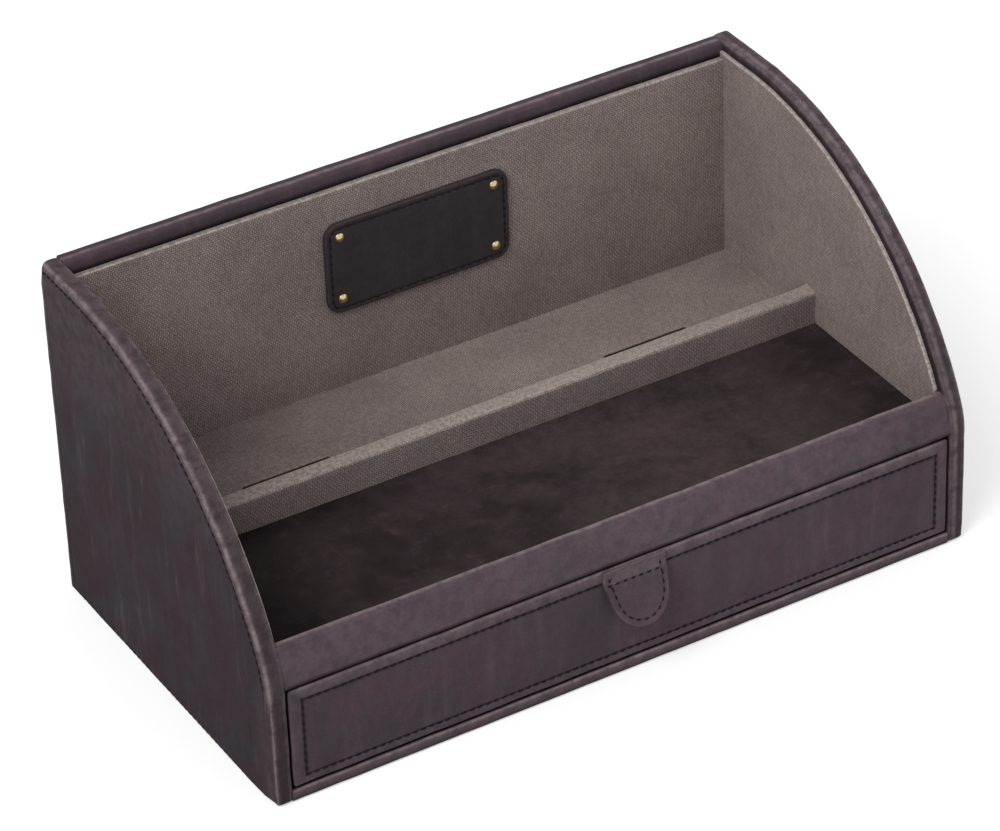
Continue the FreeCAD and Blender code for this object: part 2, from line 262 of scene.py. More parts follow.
def skin(bm, rows, ends=True):
    """Joins closed rows one after another and closes the first and the last."""
    apart = 20                                          # rows of one plane stand apart meanwhile, mm
    loops = [loop_edges(bm, row) for row in rows]
    turn = rows[0][1:] + rows[0][:1]
    normal = sum((a.co.cross(b.co) for a, b in zip(rows[0], turn)), Vector()).normalized()
    places = [[vert.co.copy() for vert in row] for row in rows]
    for i, row in enumerate(rows):
        bmesh.ops.translate(bm, verts=row, vec=normal * apart * i)
    for one, two in zip(loops, loops[1:]):
        bmesh.ops.bridge_loops(bm, edges=one + two)
    for row, place in zip(rows, places):
        for vert, co in zip(row, place):
            vert.co = co
    if ends:
        bmesh.ops.contextual_create(bm, geom=loops[0])
        bmesh.ops.contextual_create(bm, geom=loops[-1])


def ladder(bm, row, half):
    """Closes a row that is its own mirror image with rungs from side to side; half is its middle vertex."""
    rung = row[:1] + row[2 * half:]
    for i in range(half):
        following = [row[i + 1], row[2 * half - i - 1]]
        bmesh.ops.contextual_create(bm, geom=list(dict.fromkeys(rung + following)))
        rung = following


def fill_round(bm, rows):
    """Flat face inside the first row and round the others."""
    edges = [edge for row in rows for edge in loop_edges(bm, row)]
    bmesh.ops.triangle_fill(bm, use_beauty=True, edges=edges)


def rounded_row(bm, axis, low, high, level, inset, radius, wear_and_shading=0.0, runs=(24, 6), hem=1.0):
    """Rounded rectangle drawn in by inset, and by its share hem along the side it starts with."""
    upright = axis == Y
    u0, u1 = low.x + inset, high.x - inset
    v0, v1 = (low.z, high.z) if upright else (low.y, high.y)
    v0, v1 = v0 + inset * hem, v1 - inset
    r = max(radius - inset, TINY)
    corner = -QUARTER if upright else QUARTER

    def at(u, v):
        return Vector((u, level, v)) if upright else Vector((u, v, level))

    moves = [(at(u1 - r, v0), runs[0]), (at(u1 - r, v0 + r), corner, 5),
             (at(u1, v1 - r), runs[1]), (at(u1 - r, v1 - r), corner, 5),
             (at(u0 + r, v1), runs[0]), (at(u0 + r, v1 - r), corner, 5),
             (at(u0, v0 + r), runs[1]), (at(u0 + r, v0 + r), corner, 4)]
    return trace(bm, at(u0 + r, v0), moves, axis, wear_and_shading)


def plate_row(bm, *args):
    """Rounded rectangle in the upright plane at a y: low, high, y, inset, radius and the rest."""
    return rounded_row(bm, Y, *args)


def sheet_row(bm, *args):
    """Rounded rectangle in the level plane at a z: low, high, z, inset, radius and the rest."""
    return rounded_row(bm, Z, *args)


def layers(steps, wear_and_shading_values):
    """Layers of a profile, each (depth, inset, wear), from their steps and their wears."""
    return [(*step, wear_and_shading) for step, wear_and_shading in zip(steps, wear_and_shading_values)]


def groove(seam, dip, wear_and_shading_values):
    """Layers from the flat face over a sewn groove towards the edge."""
    return layers(((0.0, seam + 1.9), (0.02, seam + 1.0), (dip * 0.75, seam + 0.35), (dip, seam),
                   (dip * 0.7, seam - 0.35), (0.05, seam - 0.95)), wear_and_shading_values)


def lined_rim(thick, edge, wear_and_shading_values):
    """Layers round the edge of a lined board and in over its face."""
    return layers(((thick - edge, 0.0), (thick - edge * 0.45, edge * 0.15), (thick - edge * 0.1, edge * 0.5),
                   (thick, edge), (thick, edge + 0.7), (thick, 12.0)), wear_and_shading_values)


def uneven(bm, size, amount):
    """Moves every vertex a little, as leather and cloth lie over a board."""
    noise.seed_set(SEED)
    for vert in bm.verts:
        vert.co += noise.noise_vector(vert.co / size) * amount


def spaced(points, pitch):
    """Every pitch along a line of points: the place and the direction there."""
    places = []
    walked, target = 0.0, pitch / 2
    for a, b in zip(points, points[1:]):
        span = (b - a).length
        while span > 0 and target <= walked + span:
            places.append((a.lerp(b, (target - walked) / span), (b - a).normalized()))
            target += pitch
        walked += span
    return places


def sew(bm, points, normal):
    """Stitches along a line of points, each a short thread pulled into the leather."""
    leather = bpy.context.scene.valet_leather
    half, width = mm(leather.stitch_length) / 2, mm(leather.thread_width) / 2
    slant, flat = 0.10, 0.9             # turn of each stitch, and its height against its width
    for at, along in spaced(points, mm(leather.stitch_pitch)):
        jitter = noise.noise(at * 0.9)
        turn = Matrix.Rotation(slant + 0.10 * jitter, 3, normal)
        across = normal.cross(along).normalized()
        basis = Matrix((across, normal, along)).transposed()
        place = Matrix.Translation(at) @ (turn @ basis).to_4x4()
        size = Matrix.Diagonal((width, width * flat, half * (1 + 0.12 * jitter), 1))
        bmesh.ops.create_uvsphere(bm, u_segments=6, v_segments=6, radius=1, matrix=place @ size)


def finish_piece(bm, name, material, nodes=(), body="case", wander=None):
    """Turns a shape in millimetres into a piece on a body; wander is size and amount of unevenness."""
    if wander:
        uneven(bm, *wander)
    bmesh.ops.recalc_face_normals(bm, faces=bm.faces)
    bmesh.ops.scale(bm, vec=(0.001, 0.001, 0.001), verts=bm.verts)
    mesh = bpy.data.meshes.new(name)
    bm.to_mesh(mesh)
    bm.free()
    mesh.polygons.foreach_set("use_smooth", [True] * len(mesh.polygons))
    mesh.set_sharp_from_angle(angle=SHARP)
    mesh.materials.append(material)
    piece = bpy.data.objects.new(name, mesh)
    bpy.context.collection.objects.link(piece)
    if body:
        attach(piece, body)
    if nodes:
        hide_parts(*nodes)
    return piece


def sew_piece(name, paths, normal, body="case"):
    """Stitches along each path, as one piece of thread."""
    bm = new_shape()
    for path in paths:
        sew(bm, path, normal)
    return finish_piece(bm, name, thread_material(), body=body)


# ---- shader building ----

def wire(tree, made, inputs):
    """Sets or links a node's inputs: a socket's name or number to a value or to another socket."""
    for key, value in dict(inputs).items():
        if isinstance(value, bpy.types.NodeSocket):
            tree.links.new(value, made.inputs[key])
        else:
            made.inputs[key].default_value = value


def node(tree, kind, inputs=(), **settings):
    """Adds a node with its settings and its inputs."""
    made = tree.nodes.new(kind)
    for key, value in settings.items():
        setattr(made, key, value)
    wire(tree, made, inputs)
    return made


def math_node(tree, operation, *values):
    return node(tree, "ShaderNodeMath", dict(enumerate(values)), operation=operation).outputs[0]


def times(tree, first, *others):
    for other in others:
        first = math_node(tree, "MULTIPLY", first, other)
    return first


def plus(tree, first, *others):
    for other in others:
        first = math_node(tree, "ADD", first, other)
    return first


def choose(tree, factor, a, b):
    """Value a where factor is 0 and b where it is 1."""
    return node(tree, "ShaderNodeMix", {0: factor, 2: a, 3: b}, data_type="FLOAT").outputs[0]


def blend_colour(tree, factor, a, b, mode="MIX"):
    made = node(tree, "ShaderNodeMix", {0: factor, 6: a, 7: b}, data_type="RGBA", blend_type=mode)
    return made.outputs[2]


def tinted(tree, colour, factor):
    """The colour times a grey factor."""
    return blend_colour(tree, 1.0, colour, factor, "MULTIPLY")


def ramp(tree, value, low, high, low_out=0.0, high_out=1.0):
    made = node(tree, "ShaderNodeMapRange", {0: value, 1: low, 2: high, 3: low_out, 4: high_out},
                interpolation_type="SMOOTHSTEP")
    return made.outputs[0]


def noise_value(tree, vector, scale, detail=3.0, roughness=0.55, distortion=0.0):
    made = node(tree, "ShaderNodeTexNoise", {"Vector": vector, "Scale": scale, "Detail": detail,
                                             "Roughness": roughness, "Distortion": distortion})
    return made.outputs["Fac"]


def rgba(colour):
    return (colour[0], colour[1], colour[2], 1.0)


def toned(colour, factor):
    return [min(1.0, part * factor) for part in colour]


def new_group(name, inputs, outputs):
    """Shader node group with named sockets: (tree, its input sockets by name, its output node)."""
    tree = bpy.data.node_groups.new(name, "ShaderNodeTree")
    kinds = {"colour": "NodeSocketColor", "value": "NodeSocketFloat", "vector": "NodeSocketVector"}
    for label, kind in inputs:
        tree.interface.new_socket(name=label, in_out="INPUT", socket_type=kinds[kind])
    for label, kind in outputs:
        tree.interface.new_socket(name=label, in_out="OUTPUT", socket_type=kinds[kind])
    entry = tree.nodes.new("NodeGroupInput")
    leave = tree.nodes.new("NodeGroupOutput")
    return tree, {label: entry.outputs[label] for label, _ in inputs}, leave


def hide_group():
    """Oiled, rubbed leather: clouded tone, pale edges that are partly rubbed and partly painted highlight,
    painted shade towards black, pebble grain.
    """
    if "rubbed_hide" in bpy.data.node_groups:
        return bpy.data.node_groups["rubbed_hide"]
    tree, given, leave = new_group(
        "rubbed_hide",
        [("Place", "vector"), ("Deep", "colour"), ("Warm", "colour"), ("Cool", "colour"),
         ("Pale", "colour"), ("Wear_and_shading", "value"), ("Mottle", "value"), ("Grain", "value")],
        [("Colour", "colour"), ("Roughness", "value"), ("Height", "value")])
    place = given["Place"]
    upright = node(tree, "ShaderNodeMapping", {"Vector": place, "Scale": (1.0, 1.0, 0.16)}).outputs[0]
    cloud = noise_value(tree, place, 16.0, 3.0, 0.55, 0.3)
    patch = noise_value(tree, place, 41.0, 4.0, 0.6, 0.6)
    fleck = noise_value(tree, place, 230.0, 4.0, 0.65, 0.2)
    fine = noise_value(tree, place, 1100.0, 2.0, 0.6)
    stroke = noise_value(tree, upright, 170.0, 4.0, 0.65, 0.4)
    base = blend_colour(tree, ramp(tree, cloud, 0.36, 0.64), given["Deep"], given["Cool"])
    warmth = times(tree, ramp(tree, patch, 0.40, 0.70), given["Mottle"])
    base = blend_colour(tree, warmth, base, given["Warm"])
    rubbed = times(tree, ramp(tree, stroke, 0.52, 0.80), 0.12, given["Mottle"])
    # paler where the value is above 0: rubbed leather together with painted highlights and painted lift
    wear_and_highlight = times(tree, given["Wear_and_shading"], ramp(tree, fleck, 0.32, 0.62, 0.50, 1.05))
    wear_and_highlight = math_node(tree, "MAXIMUM", wear_and_highlight, 0.0)
    base = blend_colour(tree, math_node(tree, "MAXIMUM", rubbed, wear_and_highlight), base, given["Pale"])
    # painted shade: where the value is below 0 the colour goes towards black, in recesses, gaps and under the
    # drawer, with some soil in the folds
    soil_and_shade = times(tree, given["Wear_and_shading"], -0.95)
    soil_and_shade.node.use_clamp = True
    base = blend_colour(tree, soil_and_shade, base, rgba((0, 0, 0)))
    # painted shade across the box: the leather is darker over the left part and up to 12 % lighter from the
    # middle towards +x
    along = node(tree, "ShaderNodeSeparateXYZ", {0: place}).outputs[0]
    for value, *limits in ((stroke, 0.25, 0.75, 0.94, 1.06), (along, -0.090, 0.0, 1.0, 1.12),
                           (fleck, 0.25, 0.75, 0.93, 1.07), (fine, 0.25, 0.75, 0.92, 1.08)):
        base = tinted(tree, base, ramp(tree, value, *limits))
    pebble = node(tree, "ShaderNodeTexVoronoi", {"Vector": place, "Scale": given["Grain"]},
                  feature="DISTANCE_TO_EDGE").outputs["Distance"]
    pebble = ramp(tree, pebble, 0.0, 0.22)
    height = plus(tree, times(tree, pebble, 0.45), times(tree, fine, 0.45), times(tree, fleck, 0.9),
                  times(tree, patch, 1.6))
    rough = plus(tree, ramp(tree, patch, 0.35, 0.65, 0.62, 0.72), times(tree, pebble, -0.05),
                 times(tree, wear_and_highlight, -0.06))
    wire(tree, leave, {"Colour": base, "Roughness": rough, "Height": height})
    return tree


def weave_group():
    """Plain woven canvas, its threads laid out on whichever way the surface faces."""
    if "plain_weave" in bpy.data.node_groups:
        return bpy.data.node_groups["plain_weave"]
    tree, given, leave = new_group(
        "plain_weave",
        [("Place", "vector"), ("Facing", "vector"), ("Pitch", "value"), ("Thread", "colour"),
         ("Shade", "colour"), ("Rim", "colour"), ("Wear_and_shading", "value")],
        [("Colour", "colour"), ("Roughness", "value"), ("Height", "value")])
    at = node(tree, "ShaderNodeSeparateXYZ", {0: given["Place"]}).outputs
    facing = node(tree, "ShaderNodeSeparateXYZ", {0: given["Facing"]}).outputs
    face_x, face_z = (math_node(tree, "GREATER_THAN", math_node(tree, "ABSOLUTE", side), FACING)
                      for side in (facing[0], facing[2]))
    drift = plus(tree, noise_value(tree, given["Place"], 60.0, 2.0),
                 times(tree, noise_value(tree, given["Place"], 420.0), 0.28))
    bow = times(tree, math_node(tree, "SUBTRACT", drift, 0.64), 0.0020)
    a = math_node(tree, "DIVIDE", plus(tree, choose(tree, face_x, at[0], at[1]), bow), given["Pitch"])
    b = math_node(tree, "DIVIDE", plus(tree, choose(tree, face_z, at[2], at[1]), bow),
                  times(tree, given["Pitch"], 1.2))
    warp, weft = (math_node(tree, "MULTIPLY_ADD", math_node(tree, "COSINE", times(tree, count, 2 * math.pi)),
                            0.5, 0.5) for count in (a, b))
    parity = times(tree, *(math_node(tree, "COSINE", times(tree, count, math.pi)) for count in (a, b)))
    over = ramp(tree, parity, -0.5, 0.5)
    height = math_node(tree, "MAXIMUM", times(tree, warp, over),
                       times(tree, weft, math_node(tree, "SUBTRACT", 1.0, over)))
    stretch = node(tree, "ShaderNodeCombineXYZ", {0: a, 1: times(tree, b, 0.12)}).outputs[0]
    slub = noise_value(tree, stretch, 1.0, 2.0, 0.6)
    soil_and_shade = noise_value(tree, given["Place"], 30.0, 4.0, 0.6)
    knot = noise_value(tree, given["Place"], 620.0, 2.0, 0.7)
    calm = choose(tree, math_node(tree, "MAXIMUM", face_x, face_z), ramp(tree, over, 0.1, 0.9, 0.54, 1.16),
                  ramp(tree, over, 0.1, 0.9, 0.72, 1.04))
    lit = times(tree, ramp(tree, height, 0.05, 0.85), ramp(tree, slub, 0.3, 0.7, 0.66, 1.0),
                ramp(tree, knot, 0.32, 0.66, 0.64, 1.18), calm)
    colour = blend_colour(tree, lit, given["Shade"], given["Thread"])
    colour = tinted(tree, colour, ramp(tree, soil_and_shade, 0.3, 0.7, 0.88, 1.10))
    # painted shade: upright canvas is darker towards the bottom and a little lighter towards +x, the shelf
    # floor darker towards the left wall, and canvas facing x is painted lighter
    upright_painted_shade = times(tree, ramp(tree, at[2], 0.055, 0.120, 0.84, 1.0),
                          ramp(tree, at[0], -0.03, 0.13, 1.0, 1.08))
    floor_painted_shade = ramp(tree, at[0], -0.09, 0.045, 0.64, 1.07)
    painted_shading = choose(tree, face_z, choose(tree, face_x, upright_painted_shade, 1.07), floor_painted_shade)
    colour = tinted(tree, colour, painted_shading)
    ragged = times(tree, given["Wear_and_shading"], ramp(tree, knot, 0.38, 0.60, 0.45, 1.0))
    wire(tree, leave, {"Colour": blend_colour(tree, ragged, colour, given["Rim"]),
                       "Roughness": ramp(tree, height, 0.0, 1.0, 0.95, 0.82),
                       "Height": plus(tree, height, times(tree, slub, 0.4))})
    return tree


def made_once(name, build, *args, **settings):
    """The material of that name: build makes it at first and adds its surface to it."""
    if name not in bpy.data.materials:
        build(*new_material(name), *args, **settings)
    return bpy.data.materials[name]


def new_material(name):
    """Tree, shader and coordinates of a new material."""
    material = bpy.data.materials.new(name)
    material.use_nodes = True
    tree = material.node_tree
    return tree, tree.nodes["Principled BSDF"], tree.nodes.new("ShaderNodeTexCoord").outputs


def coat(tree, shader, colour, roughness, height, strength, distance, **others):
    """Wires a surface; others are constants of the shader, such as Sheen_Weight."""
    bump = node(tree, "ShaderNodeBump", {"Height": height, "Strength": strength, "Distance": distance})
    wire(tree, shader, {"Base Color": colour, "Roughness": roughness, "Normal": bump.outputs["Normal"]})
    wire(tree, shader, {label.replace("_", " "): value for label, value in others.items()})


def wear_and_shading_of(tree):
    return node(tree, "ShaderNodeAttribute", attribute_name="wear_and_shading").outputs["Fac"]


def hide_surface(tree, shader, place, deep, warm, cool, pale, mottle=1.0, grain=1300.0, bump=0.3, axis=0,
                 zones=()):
    """Leather; each zone lifts or dulls it from one place along the axis to the next."""
    wear_and_shading = wear_and_shading_of(tree)
    for zone in zones:
        along = node(tree, "ShaderNodeSeparateXYZ", {0: place["Object"]}).outputs[axis]
        wear_and_shading = plus(tree, wear_and_shading, ramp(tree, along, *zone))
    hide = node(tree, "ShaderNodeGroup", node_tree=hide_group())
    wire(tree, hide, {"Place": place["Object"], "Wear_and_shading": wear_and_shading, "Mottle": mottle, "Grain": grain,
                      "Deep": rgba(deep), "Warm": rgba(warm), "Cool": rgba(cool), "Pale": rgba(pale)})
    coat(tree, shader, *hide.outputs, bump, 0.00025, Specular_IOR_Level=0.03)


def seen_rays(tree):
    """1 for what the camera sees directly, mirrored or through glass."""
    path = tree.nodes.new("ShaderNodeLightPath").outputs
    mirrored = math_node(tree, "MAXIMUM", path["Is Glossy Ray"], path["Is Transmission Ray"])
    return math_node(tree, "MAXIMUM", path["Is Camera Ray"], mirrored)


def cover_leather():
    tones = bpy.context.scene.valet_leather
    return made_once("cover_leather", hide_surface, tones.deep, tones.warm, tones.cool, tones.pale)


def side_leather():
    tones = bpy.context.scene.valet_leather
    deep, warm, cool = (toned(tone, tones.side_tone) for tone in (tones.deep, tones.warm, tones.cool))
    # painted light: the sides are lifted paler towards the top and darkened a little near the bottom
    return made_once("side_hide", hide_surface, deep, warm, cool, tones.pale, mottle=1.6, axis=2,
                     zones=((0.075, 0.137, 0.0, 0.15), (0.0, 0.060, -0.05, 0.0)))


def tray_hide():
    tones = bpy.context.scene.valet_leather
    # painted light and shade along x: the tray floor is darker at its left end by the left wall, paler from
    # the middle rightwards and a little dimmer again at the right end
    return made_once("tray_hide", hide_surface, tones.floor_deep, tones.floor_warm, tones.floor_warm,
                     tones.pale, mottle=0.8, grain=1500.0, bump=0.35,
                     zones=((-0.140, -0.060, -0.46, 0.0), (-0.075, 0.040, 0.0, 0.085),
                            (0.085, 0.130, 0.0, -0.12)))


def badge_hide():
    tones = bpy.context.scene.valet_leather
    return made_once("badge_hide", hide_surface, tones.badge_tone, tones.badge_tone, tones.badge_tone,
                     tones.warm, mottle=0.25, grain=1700.0, bump=0.25)


def canvas_surface(tree, shader, place):
    cloth = bpy.context.scene.valet_canvas
    weave = node(tree, "ShaderNodeGroup", node_tree=weave_group())
    wire(tree, weave, {"Place": place["Object"], "Facing": place["Normal"], "Wear_and_shading": wear_and_shading_of(tree),
                       "Pitch": cloth.pitch, "Thread": rgba(cloth.thread), "Shade": rgba(cloth.shade),
                       "Rim": rgba(cloth.rim)})
    coat(tree, shader, *weave.outputs, 0.6, 0.00018, Specular_IOR_Level=0.2, Sheen_Weight=0.15)


def thread_surface(tree, shader, place):
    tone = bpy.context.scene.valet_leather.thread_tone
    fibre = noise_value(tree, place["Object"], 1800.0, 2.0)
    twist = node(tree, "ShaderNodeTexWave", {"Vector": place["Object"], "Scale": 1300.0},
                 bands_direction="DIAGONAL").outputs["Fac"]
    colour = blend_colour(tree, ramp(tree, fibre, 0.35, 0.7), rgba(tone), rgba(toned(tone, 2.6)))
    coat(tree, shader, colour, ramp(tree, fibre, 0.3, 0.7, 0.65, 0.85), twist, 0.5, 0.00008,
         Specular_IOR_Level=0.05)


def felt_surface(tree, shader, place):
    tone = bpy.context.scene.valet_canvas.felt
    nap = noise_value(tree, place["Object"], 1500.0, 4.0, 0.7, 1.0)
    blotch = noise_value(tree, place["Object"], 60.0, 3.0)
    colour = blend_colour(tree, ramp(tree, nap, 0.3, 0.7), rgba(tone), rgba(toned(tone, 2.0)))
    colour = tinted(tree, colour, ramp(tree, blotch, 0.3, 0.7, 0.85, 1.15))
    coat(tree, shader, colour, ramp(tree, nap, 0.3, 0.7, 1.0, 0.85), nap, 0.8, 0.0003, Sheen_Weight=0.4)


def board_surface(tree, shader, place):
    tone = bpy.context.scene.valet_canvas.board
    fibre = noise_value(tree, place["Object"], 1400.0, 5.0, 0.75, 0.6)
    cloud = noise_value(tree, place["Object"], 35.0, 3.0)
    colour = blend_colour(tree, ramp(tree, fibre, 0.3, 0.7), rgba(toned(tone, 0.6)), rgba(tone))
    colour = tinted(tree, colour, ramp(tree, cloud, 0.3, 0.7, 0.88, 1.12))
    coat(tree, shader, colour, ramp(tree, fibre, 0.3, 0.7, 0.9, 0.75), fibre, 0.4, 0.00015)


def brass_surface(tree, shader, place):
    tone = bpy.context.scene.valet_fittings.brass
    haze = noise_value(tree, place["Object"], 900.0, 4.0, 0.6, 0.8)
    tarnish = math_node(tree, "MAXIMUM", times(tree, ramp(tree, haze, 0.45, 0.75), 0.6), wear_and_shading_of(tree))
    colour = blend_colour(tree, tarnish, rgba(tone), rgba(toned(tone, 0.35)))
    coat(tree, shader, colour, ramp(tree, haze, 0.3, 0.7, 0.22, 0.42), haze, 0.15, 0.00005, Metallic=1.0)


canvas_material = partial(made_once, "lining_canvas", canvas_surface)
thread_material = partial(made_once, "sewing_thread", thread_surface)
felt_material = partial(made_once, "base_felt", felt_surface)
board_material = partial(made_once, "fibreboard", board_surface)
brass_material = partial(made_once, "pin_brass", brass_surface)


# ---- outlines of the case ----

SideCurve = namedtuple("SideCurve", "low high knee knee_z crown crown_y crown_z join")


def side_curve():
    """Side outline in millimetres: its box, the knee's and the crown's arc and the angle where they join."""
    leather = bpy.context.scene.valet_leather
    low, high = node_box("side_leather_left")
    knee, knee_z = mm(leather.knee_radius), mm(leather.knee_height)
    run = mm(leather.crown_setback) - knee
    rise = high.z - knee_z
    crown = (run ** 2 + rise ** 2 - knee ** 2) / (2 * (rise - knee))
    crown_y = low.y + mm(leather.crown_setback)
    crown_z = high.z - crown
    join = math.atan2(knee_z - crown_z, low.y + knee - crown_y)
    return SideCurve(low, high, knee, knee_z, crown, crown_y, crown_z, join)


def side_row(bm, x, inset, hem, wear_and_shading=0.0):
    """One turn round the side outline at x, drawn in by inset, and by hem along the bottom."""
    curve = side_curve()
    leather = bpy.context.scene.valet_leather
    front, back = curve.low.y + inset, curve.high.y - inset
    bottom, top = curve.low.z + hem, curve.high.z - inset
    toe, heel, sole = (max(mm(radius) - inset, TINY) for radius in (
        leather.toe_radius, leather.heel_radius if x < 0 else leather.corner_radius, leather.corner_radius))
    at = plane_at(x)
    moves = [(at(curve.low.y + curve.knee, curve.knee_z), curve.join - math.pi, 10),
             (at(curve.crown_y, curve.crown_z), QUARTER - curve.join, 44),
             (at(back - heel, top), 4), (at(back - heel, top - heel), -QUARTER, 4),
             (at(back, bottom + sole), 22), (at(back - sole, bottom + sole), -QUARTER, 4),
             (at(front + toe, bottom), 26), (at(front + toe, bottom + toe), -QUARTER, 5),
             (at(front, curve.knee_z - 3), 8)]
    return trace(bm, at(front, curve.knee_z), moves, X, wear_and_shading)


def curve_at(z, inset):
    """Angle on the crown arc, drawn in by inset, at height z, and the place there."""
    curve = side_curve()
    radius = curve.crown - inset
    angle = math.pi - math.asin((z - curve.crown_z) / radius)
    return angle, curve.crown_y + radius * math.cos(angle)


# ---- operators: one for each piece or group of like pieces ----

def round_foot(bm, hand, outer, low):
    """Rounds the outer lower corner of a side towards its front."""
    reach = mm(bpy.context.scene.valet_leather.foot_round)
    fade = 14.0
    for vert in bm.verts:
        r = reach * (1 - eased((vert.co.y - low.y) / fade))
        u = r - hand * (outer - vert.co.x)
        v = r - (vert.co.z - low.z)
        if u > 0 and v > 0 and math.hypot(u, v) > r:
            pull = r / math.hypot(u, v)
            vert.co.x = outer - hand * (r - u * pull)
            vert.co.z = low.z + r - v * pull


def round_heel(bm, hand, outer, high):
    """Rounds the top back corner of a side every way, fading out along both its edges."""
    reach = mm(bpy.context.scene.valet_leather.heel_radius)
    fade = 5.0
    for vert in bm.verts:
        away = max(high.y - vert.co.y, high.z - vert.co.z)
        r = reach * (1 - eased((away - reach) / fade))
        u = r - hand * (outer - vert.co.x)
        v = max(r - (high.y - vert.co.y), 0.0)
        w = max(r - (high.z - vert.co.z), 0.0)
        span = math.sqrt(u * u + v * v + w * w)
        if u > 0 and v + w > 0 and span > r:
            pull = 1 - r / span
            vert.co -= Vector((hand * u, v, w)) * pull


def soften_front(bm, hand, outer, low):
    """Lets the seam of a side run out below the knee, where the leather is only folded over."""
    knee_z = mm(bpy.context.scene.valet_leather.knee_height)
    above, drop = 3.0, 12.0             # where it starts to run out over the knee, and over what height
    strip, fade = 12.0, 3.0             # width of the part along the front edge, and its soft end
    flat, skin_depth = 0.05, 0.8        # how deep the softened leather lies, and where the outer face ends
    tone = 0.12
    layer = bm.verts.layers.float["wear_and_shading"]
    for vert in bm.verts:
        depth = hand * (outer - vert.co.x)
        share = share_of((knee_z + above - vert.co.z) / drop) * share_of((low.y + strip - vert.co.y) / fade)
        if depth < skin_depth:
            vert.co.x += hand * share * (depth - flat) * share_of(vert.co.y - low.y - skin_depth)
            vert[layer] += (tone - vert[layer]) * share * 0.9
        elif vert.co.z < knee_z + 10:
            vert[layer] -= share * tone / 2


class VALET_OT_side_covers(bpy.types.Operator):
    """Leather over both side panels, with its seams"""
    bl_idname = "valet.side_covers"
    bl_label = "Side covers"

    def execute(self, context):
        leather = context.scene.valet_leather
        seam, dip, knee_z = mm(leather.stitch_inset), mm(leather.groove_depth), mm(leather.knee_height)
        hem = 0.25                          # share of the inset that is kept along the bottom
        for hand, side in ((-1, "left"), (1, "right")):
            low, high = node_box("side_leather_" + side)
            outer = low.x if hand < 0 else high.x
            thick = high.x - low.x
            inner, crest = (0.16, 1.0) if hand < 0 else (0.62, 0.70)    # pale of the two edges of its rim: rubbed leather and painted highlight, stronger on the edge that faces the key lamp
            # painted shade darkens the inner face where it shows above the lining
            profile = [(0.0, 16.0, 0.0), *groove(seam, dip, (0.0, 0.05, -0.05, -0.1, 0.08, 0.18)),
                       (0.02, 2.1, 0.28), (0.14, 1.25, 0.5 * crest), (0.45, 0.58, 0.95 * crest),
                       (0.95, 0.18, crest), (1.55, 0.0, 0.42 * crest), (2.3, -0.05, 0.18),
                       (3.4, -0.06, 0.14), (thick - 2.7, -0.04, inner), (thick - 2.0, 0.0, inner),
                       (thick - 1.2, 0.06, 0.34), (thick - 0.6, 0.24, 0.42), (thick - 0.2, 0.6, 0.36),
                       (thick, 1.3, 0.0), (thick, 2.6, -0.2), (thick, 4.0, -0.5), (thick, 16.0, -0.3)]
            bm = new_shape()
            skin(bm, [side_row(bm, outer - hand * t, d, hem * d, wear_and_shading) for t, d, wear_and_shading in profile])
            soften_front(bm, hand, outer, low)
            round_foot(bm, hand, outer, low)
            if hand < 0:
                round_heel(bm, hand, outer, high)
            finish_piece(bm, "cover_" + side, side_leather(),
                         ["side_leather_" + side, "side_board_" + side],
                         wander=(9.0, mm(leather.unevenness)))
            path = outline_of(side_row, outer - hand * dip * SUNK, seam, hem * seam)
            back = next(i for i, p in enumerate(path) if p.y > high.y - seam - 1 and p.z < high.z - 6)
            bottom = [p for p in path if p.z < low.z + 2 and low.y + 12 < p.y < high.y - 3]
            curve = [p for p in path[:back] if p.z > knee_z + 1]
            sew_piece("seam_" + side, (bottom, curve), X * hand)
        return {"FINISHED"}


